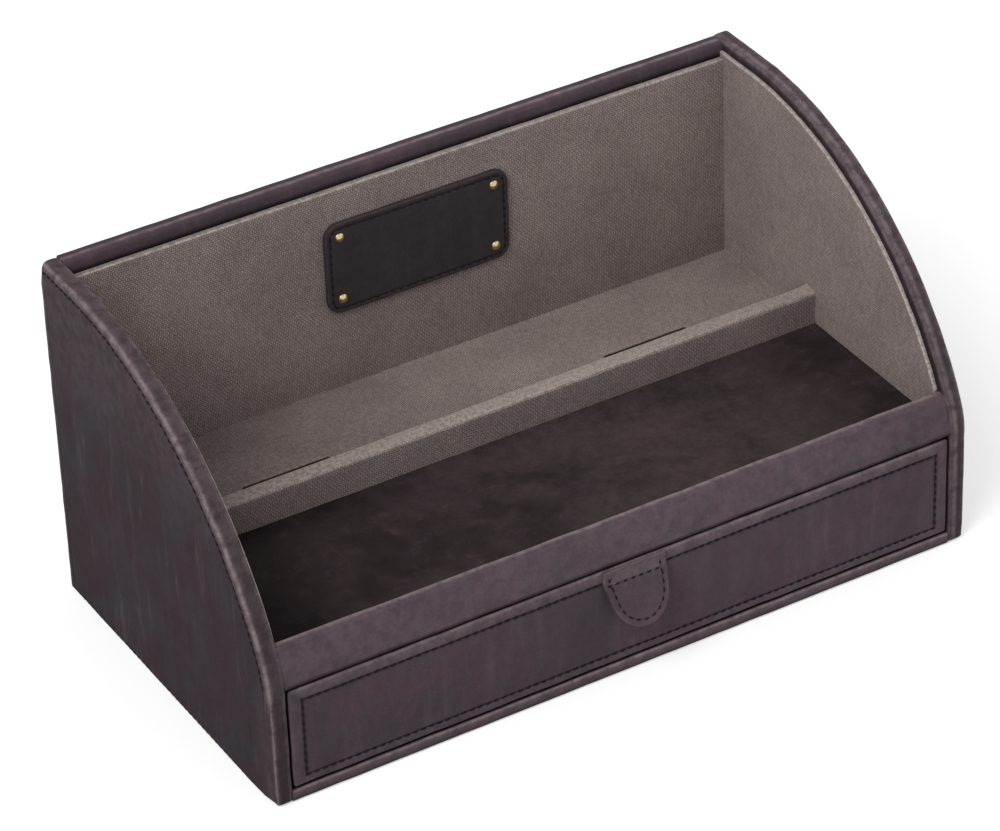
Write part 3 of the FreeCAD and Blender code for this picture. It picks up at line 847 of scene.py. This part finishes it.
class VALET_OT_back_cover(bpy.types.Operator):
    """Leather over the back, round its top edge and through the cord outlet"""
    bl_idname = "valet.back_cover"
    bl_label = "Back cover"

    def execute(self, context):
        leather = context.scene.valet_leather
        low, high = node_box("back_leather")
        seam, dip = mm(leather.stitch_inset), mm(leather.groove_depth)
        # the top edge is painted pale near its front, rubbed leather and painted highlight; painted shade
        # darkens the inner face in the recess above the lining
        profile = [*groove(seam, dip, (-0.2, -0.1, -0.5, -0.6, -0.1, 0.1)), (0.0, 1.9, 0.15),
                   (0.15, 1.1, 0.0), (0.55, 0.45, 0.05), (1.2, 0.1, 0.0), (2.0, 0.0, -0.10),
                   (3.2, 0.0, 0.05), (3.9, 0.0, 0.7), (4.5, 0.0, 1.0), (5.1, 0.02, 0.6), (5.8, 0.06, 0.1),
                   (6.5, 0.25, 0.0), (7.0, 0.6, 0.0), (7.3, 1.2, 0.0), (7.4, 2.4, 0.0), (7.4, 3.6, -0.1),
                   (7.4, 4.4, -0.5), (7.4, 5.6, -0.9), (7.4, 9.0, -1.0)]
        flush_from = 1.0                    # further in than this the cover runs flush to the sides
        bm = new_shape()
        rows = [plate_row(bm, low, high, high.y - t, d, 0.3, wear_and_shading, (48, 12)) for t, d, wear_and_shading in profile]
        for row, (t, d, _) in zip(rows, profile):
            if t > flush_from:
                bmesh.ops.scale(bm, vec=(high.x / (high.x - d), 1, 1), verts=row)
        skin(bm, rows, ends=False)
        rim = [(0.0, -1.3, 0.05), (0.12, -0.7, 0.5), (0.45, -0.2, 0.7), (1.0, 0.0, 0.3), (6.4, 0.0, 0.3),
               (6.95, -0.2, 0.7), (7.28, -0.7, 0.5), (7.4, -1.3, 0.0)]
        lips = [plate_row(bm, *OUTLET, high.y - t, d, OUTLET_RADIUS, wear_and_shading, (12, 1)) for t, d, wear_and_shading in rim]
        skin(bm, lips, ends=False)
        fill_round(bm, [rows[0], lips[0]])
        fill_round(bm, [rows[-1], lips[-1]])
        finish_piece(bm, "cover_back", cover_leather(), ["back_leather", "back_board"],
                     wander=(9.0, mm(leather.unevenness)))
        paths = [outline_of(plate_row, *box, high.y - dip * SUNK, inset, radius)
                 for box, inset, radius in (((low, high), seam, 0.3), (OUTLET, -3.2, OUTLET_RADIUS))]
        sew_piece("seam_back", [path + path[:1] for path in paths], Y)
        return {"FINISHED"}


class VALET_OT_base_cover(bpy.types.Operator):
    """Leather round the base and over the drawer's floor, and the felt under it"""
    bl_idname = "valet.base_cover"
    bl_label = "Base cover"

    def execute(self, context):
        leather = context.scene.valet_leather
        low, high = node_box("base_leather")
        board, _ = node_box("base_board")
        thick = board.y - low.y
        round_over, turned, lift = 1.1, 12.0, 0.6       # top edge, fold under the base, start of the outline
        bm = new_shape()
        rows = []
        for _, x in stations(low, high, 60):
            at = plane_at(x)
            moves = [(at(low.y, high.z - round_over), 3),
                     (at(low.y + round_over, high.z - round_over), -QUARTER, 5),
                     (at(high.y, high.z), 4), (at(high.y, high.z - thick), 1),
                     (at(low.y + thick, high.z - thick), 4), (at(low.y + thick, board.z), 2),
                     (at(low.y + turned, board.z), 2), (at(low.y + turned, low.z), 1),
                     (at(low.y + lift, low.z), 2)]
            rows.append(trace(bm, at(low.y, low.z + lift), moves, X))
            # the top front rounding is painted pale, rubbed leather and painted highlight; painted shade
            # darkens the top behind it, under the drawer, and the lower front edge
            paint(bm, rows[-1], (-0.4, 0.1, 0.2, 0.5, 0.9, 1.0, 0.45, -0.3, -0.9, -1.0, -1.0))
        skin(bm, rows)
        finish_piece(bm, "cover_base", cover_leather(), ["base_leather"],
                     wander=(9.0, mm(leather.unevenness) * 0.7))
        low, high = node_box("base_felt")
        profile = ((low.z, 6.0), (low.z, 0.5), (low.z + 0.15, 0.12), (low.z + 0.5, 0.0), (high.z, 0.0),
                   (high.z, 6.0))
        bm = new_shape()
        skin(bm, [sheet_row(bm, low, high, z, d, 2.0, 0.0, (24, 8)) for z, d in profile])
        finish_piece(bm, "felt_sheet", felt_material(), ["base_felt"])
        return {"FINISHED"}


class VALET_OT_rail_cover(bpy.types.Operator):
    """Leather over the curved rail above the drawer"""
    bl_idname = "valet.rail_cover"
    bl_label = "Rail cover"

    def execute(self, context):
        leather = context.scene.valet_leather
        low, high = node_box("fascia_leather")
        curve = side_curve()
        recess = low.y - curve.low.y
        thick, ease, back_ease, deepest = 4.2, 1.7, 1.7 * 0.7, 0.8
        shoulder = high.z - ease
        rise_front, front_top = curve_at(shoulder, recess)
        rise_back, back_top = curve_at(shoulder, recess + thick)
        front_radius = curve.knee - recess
        front_lead = math.asin((low.z - curve.knee_z) / front_radius)
        back_lead = math.asin((low.z - curve.knee_z) / (front_radius - thick))
        foot = curve.low.y + curve.knee - front_radius * math.cos(front_lead)
        crest = (0.17, 0.17, 0.17, 0.18, 0.20, 0.28, 0.85, 1.25, 1.25, 1.2, 0.8)
        bm = new_shape()
        rows = []
        for share, x in stations(low, high, 70):
            at = plane_at(x)
            knee, crown = at(curve.low.y + curve.knee, curve.knee_z), at(curve.crown_y, curve.crown_z)
            moves = [(knee, curve.join - math.pi + front_lead, 8), (crown, rise_front - curve.join, 3),
                     (at(front_top + ease, shoulder), -QUARTER, 6), (at(back_top - back_ease, high.z), 2),
                     (at(back_top - back_ease, high.z - back_ease), -QUARTER, 4), (at(back_top, shoulder), 1),
                     (crown, curve.join - rise_back, 3), (knee, math.pi - back_lead - curve.join, 8)]
            row = trace(bm, at(foot, low.z), moves, X)
            # painted shade darkens the foot over the drawer gap; the front is painted a little pale, more at
            # the left end, and the top edge pale, rubbed leather and painted highlight
            face = 0.20 - 0.06 * share
            paint(bm, row, (-0.8,) + (face,) * 11 + crest)
            sag = deepest * math.sin(math.pi * share)
            for vert in row:
                vert.co.z -= sag * share_of((vert.co.z - curve.knee_z) / (high.z - curve.knee_z))
            rows.append(row)
        skin(bm, rows)
        finish_piece(bm, "cover_rail", cover_leather(), ["fascia_leather", "fascia_board"],
                     wander=(11.0, mm(leather.unevenness)))
        return {"FINISHED"}


class VALET_OT_linings(bpy.types.Operator):
    """Canvas covered boards inside the sides and the back"""
    bl_idname = "valet.linings"
    bl_label = "Linings"

    def execute(self, context):
        edge = mm(context.scene.valet_canvas.edge)
        rail = node_box("fascia_leather")[1]
        step_y, step_z = rail.y + 0.2, rail.z + 0.25            # the lining steps over the rail here
        curve = side_curve()
        for hand, side in ((-1, "left"), (1, "right")):
            low, high = node_box("lining_" + side)
            inset = curve.high.z - high.z
            wall = low.x if hand < 0 else high.x
            thick = high.x - low.x
            profile = [(0.0, 0.0, 0.55), *lined_rim(thick, edge, (0.8, 0.95, 0.8, 0.25, 0.0, 0.0))]
            bm = new_shape()
            rows = []
            for t, d, wear_and_shading in profile:
                at = plane_at(wall - hand * t)
                start_angle, start_y = curve_at(step_z + d, inset + d)
                moves = [(at(step_y + d, step_z + d), 4),
                         (at(min(start_y, step_y + d - 0.02), step_z + d), 1),
                         (at(curve.crown_y, curve.crown_z), QUARTER - start_angle, 40),
                         (at(high.y - d, high.z - d), 3), (at(high.y - d, low.z + d), 16)]
                rows.append(trace(bm, at(step_y + d, low.z + d), moves, X, wear_and_shading))
            skin(bm, rows)
            finish_piece(bm, "lining_board_" + side, canvas_material(), ["lining_" + side],
                         wander=LINING_WANDER)
        low, high = node_box("lining_back")
        thick = high.y - low.y
        profile = [(0.0, 8.0, 0.0), (0.0, 0.3, 0.1), (0.3, 0.0, 0.3),
                   *lined_rim(thick, edge, (0.45, 0.75, 0.6, 0.2, 0.0, 0.0))]
        bm = new_shape()
        skin(bm, [plate_row(bm, low, high, high.y - t, d, 0.4, wear_and_shading, (48, 12)) for t, d, wear_and_shading in profile])
        finish_piece(bm, "lining_board_back", canvas_material(), ["lining_back"],
                     wander=LINING_WANDER)
        return {"FINISHED"}


class VALET_OT_floors(bpy.types.Operator):
    """Leather floor of the tray and canvas floor of the shelf with its cord slots"""
    bl_idname = "valet.floors"
    bl_label = "Tray and shelf floors"

    def execute(self, context):
        low, high = node_box("tray_leather")
        profile = ((1.0, 4.0, 0), (1.0, 0.0, 0), (0.5, 0.0, 0), (0.15, 0.2, 0.05), (0.0, 0.7, 0.02),
                   (0.02, 3.0, 0), (0.0, 16.0, 0))
        bm = new_shape()
        skin(bm, [sheet_row(bm, low, high, high.z - t, d, 0.4, wear_and_shading, (30, 10)) for t, d, wear_and_shading in profile])
        finish_piece(bm, "tray_floor", tray_hide(), ["tray_leather"], wander=(18.0, 0.10))
        low, high = node_box("shelf_canvas")
        lip = ((high.z, -0.35, 0.1), (high.z - 0.1, 0.05, 0.3), (high.z - 0.35, 0.25, 0.2),
               (low.z, 0.25, 0.0))
        openings = {opening["name"]: opening["box_m"] for opening in frame["record"]["physics"]["openings"]}
        bm = new_shape()
        rings = [[sheet_row(bm, low, high, z, 0.0, 0.2, 0.0, (30, 8)) for z in (high.z, low.z)]]
        skin(bm, rings[0], ends=False)
        for side in ("left", "right"):
            slot_low, slot_high = (mm(Vector(corner)) for corner in openings["cord_slot_" + side])
            slot_low -= SLOT_CLEARANCE
            slot_high += SLOT_CLEARANCE
            rings.append([sheet_row(bm, slot_low, slot_high, z, d, 1.0, wear_and_shading, (6, 2)) for z, d, wear_and_shading in lip])
            skin(bm, rings[-1], ends=False)
        fill_round(bm, [rows[0] for rows in rings])
        fill_round(bm, [rows[-1] for rows in rings])
        finish_piece(bm, "shelf_floor", canvas_material(), ["shelf_canvas"])
        return {"FINISHED"}


class VALET_OT_divider(bpy.types.Operator):
    """Canvas wrapped bar between the tray and the shelf"""
    bl_idname = "valet.divider"
    bl_label = "Divider"

    def execute(self, context):
        low, high = node_box("divider_canvas")
        ease, wear_and_highlight = 1.7, 0.42
        deepest, tallest, ear_length = 0.12, 0.6, 3.0       # bulge of both faces; ear at the right end
        bm = new_shape()
        rows = []
        for share, x in stations(low, high, 90):
            at = plane_at(x)
            bulge = deepest * math.sin(math.pi * share)
            ear = tallest * max(0.0, 1 - (high.x - x) / ear_length) ** 1.3
            front, back = low.y - bulge, high.y + bulge
            moves = [(at(front, high.z - ease), 5), (at(front + ease, high.z - ease), -QUARTER, 6),
                     (at(back - ease, high.z + ear), 3),
                     (at(back - ease, high.z - ease + ear), -QUARTER, 6), (at(high.y, low.z), 5)]
            rows.append(trace(bm, at(low.y, low.z), moves, X))
            # the top is painted pale: rubbed canvas and painted light on its upward face
            paint(bm, rows[-1][6:20], [wear_and_highlight / 3, wear_and_highlight * 2 / 3] + [wear_and_highlight] * 12)
        skin(bm, rows)
        finish_piece(bm, "divider_wrap", canvas_material(), ["divider_canvas", "divider_board"],
                     wander=(12.0, 0.16))
        return {"FINISHED"}


class VALET_OT_badge(bpy.types.Operator):
    """Blank sewn badge and its four domed pins"""
    bl_idname = "valet.badge"
    bl_label = "Badge and pins"

    def execute(self, context):
        fittings = context.scene.valet_fittings
        low, high = node_box("badge")
        corner, seam = mm(fittings.badge_corner), mm(fittings.badge_stitch_inset)
        profile = [(2.0, 5.0, 0), (2.0, 0.1, 0), (1.7, 0.0, 0.0), (0.55, 0.0, 0.2), (0.16, 0.14, 0.35),
                   (0.02, 0.45, 0.15), (0.0, 0.9, 0.0), (0.05, seam - 0.4, 0.0), (0.22, seam, -0.6),
                   (0.06, seam + 0.45, 0.0), (0.0, seam + 1.2, 0.04), (0.04, 8.0, 0.0)]
        bm = new_shape()
        skin(bm, [plate_row(bm, low, high, low.y + t, d, corner, wear_and_shading, (24, 10)) for t, d, wear_and_shading in profile])
        finish_piece(bm, "badge_plate", badge_hide(), ["badge"], wander=(8.0, 0.10))
        path = outline_of(plate_row, low, high, low.y + 0.12, seam, corner)
        sew_piece("seam_badge", [path + path[:1]], -Y)
        pins_low, pins_high = node_box("badge_pins")
        radius = mm(fittings.pin_radius)
        sunk = Y * 0.25                                     # how deep a pin's edge sits in the badge
        head = low.y - pins_low.y
        dome = (radius ** 2 + head ** 2) / (2 * head)
        centre = Vector((pins_low.x + radius, low.y, pins_low.z + radius))
        bm = new_shape()
        moves = [(centre + Y * (dome - head), math.asin(radius / dome), 7),
                 (centre + sunk - Z * radius, 1), (centre + sunk, 1)]
        row = trace(bm, centre - Y * head, moves, X, closed=False)
        paint(bm, reversed(row), (0.8, 0.8, 0.8, 0.5))
        edges = [bm.edges.get(pair) for pair in zip(row, row[1:])]
        bmesh.ops.spin(bm, geom=row + edges, cent=centre, axis=Y, angle=2 * math.pi, steps=24, use_merge=True)
        bmesh.ops.remove_doubles(bm, verts=bm.verts, dist=0.001)
        across = X * (pins_high.x - pins_low.x - 2 * radius)
        up = Z * (pins_high.z - pins_low.z - 2 * radius)
        first = bm.verts[:] + bm.edges[:] + bm.faces[:]
        for step in (across, up, across + up):
            copy = bmesh.ops.duplicate(bm, geom=first)["geom"]
            bmesh.ops.translate(bm, vec=step, verts=[v for v in copy if isinstance(v, bmesh.types.BMVert)])
        finish_piece(bm, "pin_heads", brass_material(), ["badge_pins"])
        return {"FINISHED"}


class VALET_OT_drawer_front(bpy.types.Operator):
    """Leather over the drawer front, with its raised border and seam"""
    bl_idname = "valet.drawer_front"
    bl_label = "Drawer front"

    def execute(self, context):
        leather = context.scene.valet_leather
        low, high = node_box("drawer_front_leather")
        seam, dip = mm(leather.border), mm(leather.groove_depth) * 1.15
        corner, hem, foot, ends = 0.9, 0.66, 3.0, 4.5
        # the border is painted pale along its crest, rubbed leather and painted highlight; painted shade
        # darkens the edges of the front in the gap round the drawer
        profile = [(0.10, 16.0, 0.0), (0.12, seam + 2.2, 0.0), (0.16, seam + 1.1, -0.05),
                   (dip * 0.8, seam + 0.4, -0.4), (dip, seam, -0.7), (dip * 0.65, seam - 0.4, -0.1),
                   (0.02, seam - 1.0, 0.25), (-0.06, seam * 0.5, 0.28), (0.0, 1.2, 0.34), (0.12, 0.65, 0.60),
                   (0.42, 0.2, 0.75), (0.85, 0.0, 0.1), (1.3, 0.0, -0.9), (2.1, 0.0, -0.8), (2.8, 0.0, -0.2),
                   (5.4, 0.0, -0.05), (5.9, 0.15, 0.3), (6.2, 0.7, 0.0), (6.2, 8.0, 0.0)]
        bm = new_shape()
        skin(bm, [plate_row(bm, low, high, low.y + t, d, corner, wear_and_shading, (60, 10), hem)
                  for t, d, wear_and_shading in profile])
        layer = bm.verts.layers.float["wear_and_shading"]
        for vert in bm.verts:
            if vert[layer] > 0 and (vert.co.z < low.z + foot or abs(vert.co.x) > high.x - ends):
                vert[layer] *= 0.35                         # the ends and the lower edge get less of the pale rub and painted highlight than the top border
        finish_piece(bm, "drawer_face", cover_leather(),
                     ["drawer_front_leather", "drawer_front_board"], "drawer",
                     wander=(9.0, mm(leather.unevenness)))
        path = outline_of(plate_row, low, high, low.y + dip * 0.5, seam, corner, 0.0, (280, 20), hem)
        root_low, root_high = node_box("pull_tab_root")
        tabbed = [i for i, p in enumerate(path) if root_low.x < p.x < root_high.x and p.z > root_low.z - 3]
        sew_piece("seam_drawer", [path[tabbed[-1] + 1:] + path[:tabbed[0]]], -Y, body="drawer")
        return {"FINISHED"}


class VALET_OT_drawer_inside(bpy.types.Operator):
    """Canvas lining boards inside the drawer"""
    bl_idname = "valet.drawer_inside"
    bl_label = "Drawer inside"

    def execute(self, context):
        edge = 0.35
        for part in ("drawer_lining_left", "drawer_lining_right", "drawer_lining_front", "drawer_lining_back",
                     "drawer_floor_canvas"):
            low, high = node_box(part)
            rubbed = 0.0 if part == "drawer_floor_canvas" else 1.0
            profile = ((low.z, 0.3, 0), (low.z, 0.0, 0), (high.z - edge - 0.6, 0.0, 0.0),
                       (high.z - edge, 0.0, 0.4), (high.z - edge * 0.3, edge * 0.3, 0.8), (high.z, edge, 0.7))
            bm = new_shape()
            skin(bm, [sheet_row(bm, low, high, z, d, 0.2, wear_and_shading * rubbed, (20, 20)) for z, d, wear_and_shading in profile])
            finish_piece(bm, part.replace("drawer_", "drawer_board_"), canvas_material(), [part],
                         "drawer")
        return {"FINISHED"}


class VALET_OT_pull_tab(bpy.types.Operator):
    """Sewn leather pull tab in one piece, bending at its seam"""
    bl_idname = "valet.pull_tab"
    bl_label = "Pull tab"

    def execute(self, context):
        fittings = context.scene.valet_fittings
        root_low, root_high = node_box("pull_tab_root")
        middle, radius = (root_low.x + root_high.x) / 2, (root_high.x - root_low.x) / 2
        rise, drop = mm(fittings.tab_seam), mm(fittings.tab_length)
        seam = mm(fittings.tab_stitch_inset)
        thick_root, thick_flap = root_high.y - root_low.y, mm(fittings.tab_thickness)
        tilt = fittings.tab_tilt
        above, below = 1.4, 2.0                 # the tab bends from above its seam to below it, mm
        slack = 0.4                             # the top edge ends this far from the left side
        groove = -0.42                          # share of the thickness where the stitches lie

        def outline(bm, depth, inset, wear_and_shading=0.0):
            """D outline of the flat tab; y is the share of its thickness, z the distance above the seam."""
            r = max(radius - inset, TINY)
            top = rise - inset * 0.55
            corner = radius - drop

            def at(x, z):
                return Vector((x, depth, z))

            moves = [(at(-r, corner), 22), (at(0, corner), -math.pi, 30), (at(r, top), 22),
                     (at(-r + slack, top), 10)]
            return trace(bm, at(-r, top), moves, Y, wear_and_shading)

        def narrow(point):
            """The free part is a little narrower and longer than its root."""
            share = share_of(-point.z / 8.0)
            return Vector((point.x * (1 - 0.085 * share * (2 - share)), point.y,
                           point.z * (1 + 0.03 * share)))

        def bent_share(distance):
            return eased((distance + above) / (above + below))

        def bend(point):
            """Flat tab to its place: sewn down above the seam, hanging off it below."""
            distance = -point.z
            share = bent_share(distance)
            angle = tilt * share
            thick = thick_root + (thick_flap - thick_root) * share
            steps = 24
            y, z = 0.0, root_low.z
            for i in range(steps):
                slope = tilt * bent_share(distance * (i + 0.5) / steps)
                y -= math.sin(slope) * distance / steps
                z -= math.cos(slope) * distance / steps
            rest = root_high.y - thick / 2 - 0.02 - 0.28 * share
            return Vector((middle + point.x, rest + y + point.y * thick * math.cos(angle),
                           z - point.y * thick * math.sin(angle)))

        profile = [(0.5, 6.0, 0), (0.5, 0.7, 0), (0.42, 0.25, 0), (0.2, 0.0, 0.05), (-0.15, 0.0, 0.05),
                   (-0.40, 0.15, 0.12), (-0.49, 0.45, 0.16), (-0.5, 0.9, 0.08), (-0.5, seam - 0.4, 0.0),
                   (-0.44, seam, -0.3), (-0.5, seam + 0.4, 0.0), (-0.5, seam + 1.3, 0.0), (-0.5, 6.5, 0)]
        bm = new_shape()
        rows = [outline(bm, depth, inset, wear_and_shading) for depth, inset, wear_and_shading in profile]
        skin(bm, rows, ends=False)
        tip = 22 + 30 // 2                      # middle vertex of a row: down the side and half way round
        ladder(bm, rows[0], tip)
        ladder(bm, rows[-1], tip)
        layer = bm.verts.layers.float["wear_and_shading"]
        for vert in bm.verts:
            if vert.co.z > 0.6:
                vert[layer] = 0.34              # the root is painted pale like the border round it: rubbed leather and painted highlight
            vert.co = bend(narrow(vert.co))
        start, end = (Vector((middle, root_high.y, root_low.z + z)) * 0.001 for z in (above, -below))
        tab = finish_piece(bm, "tab", cover_leather(), ["pull_tab", "pull_tab_root"],
                           body=None, wander=(6.0, 0.06))
        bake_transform(tab, "drawer", "pull_tab_flap", start=start, end=end)
        path = outline_of(outline, groove, seam)
        crown = rise - seam * 0.55 - 0.5
        curved = [p for p in path if p.z <= crown]
        across = [Vector((side * (radius - slack), groove, -0.1)) for side in (-1, 1)]
        bent = [[bend(narrow(a.lerp(b, i / 24))) for a, b in zip(row, row[1:]) for i in range(24)]
                for row in (curved, across)]
        facing = Vector((0, -math.cos(tilt * 0.8), math.sin(tilt * 0.8))).normalized()
        seam_tab = sew_piece("seam_tab", bent, facing, body=None)
        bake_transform(seam_tab, "drawer", "pull_tab_flap", start=start, end=end)
        return {"FINISHED"}


class VALET_OT_boards(bpy.types.Operator):
    """Finishes on the frame's own pieces, of which the bare boards are seen"""
    bl_idname = "valet.boards"
    bl_label = "Boards"

    def execute(self, context):
        finishes = {
            "case_leather": cover_leather, "tray_leather": tray_hide, "badge_leather": badge_hide,
            "canvas": canvas_material, "felt": felt_material, "brass": brass_material,
            "board": board_material,
        }
        slots = {part["node"]: part["material_slot"] for part in frame["record"]["subparts"]}
        for name, part in frame["nodes"].items():
            finish = finishes[slots[name]]()
            if not part.material_slots:
                part.data.materials.append(finish)
            for filled in part.material_slots:
                filled.material = finish
        return {"FINISHED"}


class VALET_OT_stage(bpy.types.Operator):
    """Pale floor, soft lamps and the camera"""
    bl_idname = "valet.stage"
    bl_label = "Stage"

    def execute(self, context):
        scene = context.scene
        stage = scene.valet_stage
        scene.view_settings.view_transform = "Standard"
        bm = bmesh.new()
        bmesh.ops.create_grid(bm, x_segments=2, y_segments=2, size=6.0)
        mesh = bpy.data.meshes.new("floor")
        bm.to_mesh(mesh)
        bm.free()
        floor = bpy.data.objects.new("floor", mesh)
        scene.collection.objects.link(floor)
        material = bpy.data.materials.new("pale_floor")
        material.use_nodes = True
        tree = material.node_tree
        shader = tree.nodes["Principled BSDF"]
        wire(tree, shader, {"Base Color": rgba(stage.floor), "Roughness": 0.9, "Specular IOR Level": 0.1})
        glow = node(tree, "ShaderNodeEmission", {"Color": (1, 1, 1, 1), "Strength": stage.lift})
        both = node(tree, "ShaderNodeAddShader", {0: shader.outputs[0], 1: glow.outputs[0]})
        lift = node(tree, "ShaderNodeMixShader",
                    {0: seen_rays(tree), 1: shader.outputs[0], 2: both.outputs[0]})
        wire(tree, tree.nodes["Material Output"], {"Surface": lift.outputs[0]})
        mesh.materials.append(material)

        scene.world = bpy.data.worlds.new("studio")
        scene.world.use_nodes = True
        tree = scene.world.node_tree
        wire(tree, tree.nodes["Background"], {"Color": (1.0, 1.0, 1.0, 1.0),
                                              "Strength": choose(tree, seen_rays(tree), stage.sky, 1.0)})

        for name, place, size, power in (("key", (-1.55, -0.85, 1.95), 1.3, stage.key),
                                         ("fill", (1.5, -0.6, 1.2), 1.2, stage.fill)):
            lamp = bpy.data.lights.new(name, "AREA")
            lamp.shape = "DISK"
            lamp.size = size
            lamp.energy = power
            holder = bpy.data.objects.new(name, lamp)
            holder.location = place
            holder.rotation_euler = (Vector(place) - LAMP_AIM).to_track_quat("Z", "Y").to_euler()
            scene.collection.objects.link(holder)

        lens = bpy.data.cameras.new("camera")
        lens.lens = stage.lens
        lens.sensor_width = 36.0
        lens.clip_end = 20.0
        camera = bpy.data.objects.new("camera", lens)
        turn = Matrix((CAMERA_RIGHT, -CAMERA_DOWN, -CAMERA_AHEAD)).transposed()
        camera.matrix_world = Matrix.Translation(CAMERA_PLACE) @ turn.to_4x4()
        scene.collection.objects.link(camera)
        scene.camera = camera
        return {"FINISHED"}


class VALET_PT_panel(bpy.types.Panel):
    """Steps that dress the valet box, in order"""
    bl_idname = "VALET_PT_panel"
    bl_label = "Valet Box"
    bl_space_type = "VIEW_3D"
    bl_region_type = "UI"
    bl_category = "Valet Box"

    def draw(self, context):
        column = self.layout.column()
        for step in STEPS:
            column.operator(step.bl_idname)
        for group in ("valet_leather", "valet_canvas", "valet_fittings", "valet_stage"):
            settings = getattr(context.scene, group)
            box = column.box()
            for name in settings.__annotations__:
                box.prop(settings, name)


GROUPS = {"valet_leather": ValetLeather, "valet_canvas": ValetCanvas,
          "valet_fittings": ValetFittings, "valet_stage": ValetStage}
STEPS = (VALET_OT_side_covers, VALET_OT_back_cover, VALET_OT_base_cover, VALET_OT_rail_cover,
         VALET_OT_linings, VALET_OT_floors, VALET_OT_divider, VALET_OT_badge, VALET_OT_drawer_front,
         VALET_OT_drawer_inside, VALET_OT_pull_tab, VALET_OT_boards, VALET_OT_stage)


def register():
    for group in GROUPS.values():
        bpy.utils.register_class(group)
    for step in STEPS:
        bpy.utils.register_class(step)
    bpy.utils.register_class(VALET_PT_panel)
    for name, group in GROUPS.items():
        setattr(bpy.types.Scene, name, PointerProperty(type=group))


def unregister():
    for name in GROUPS:
        delattr(bpy.types.Scene, name)
    bpy.utils.unregister_class(VALET_PT_panel)
    for step in reversed(STEPS):
        bpy.utils.unregister_class(step)
    for group in reversed(GROUPS.values()):
        bpy.utils.unregister_class(group)


def main():
    register()
    for step in STEPS:
        group, name = step.bl_idname.split(".")
        getattr(getattr(bpy.ops, group), name)()


if __name__ == "__main__":
    main()
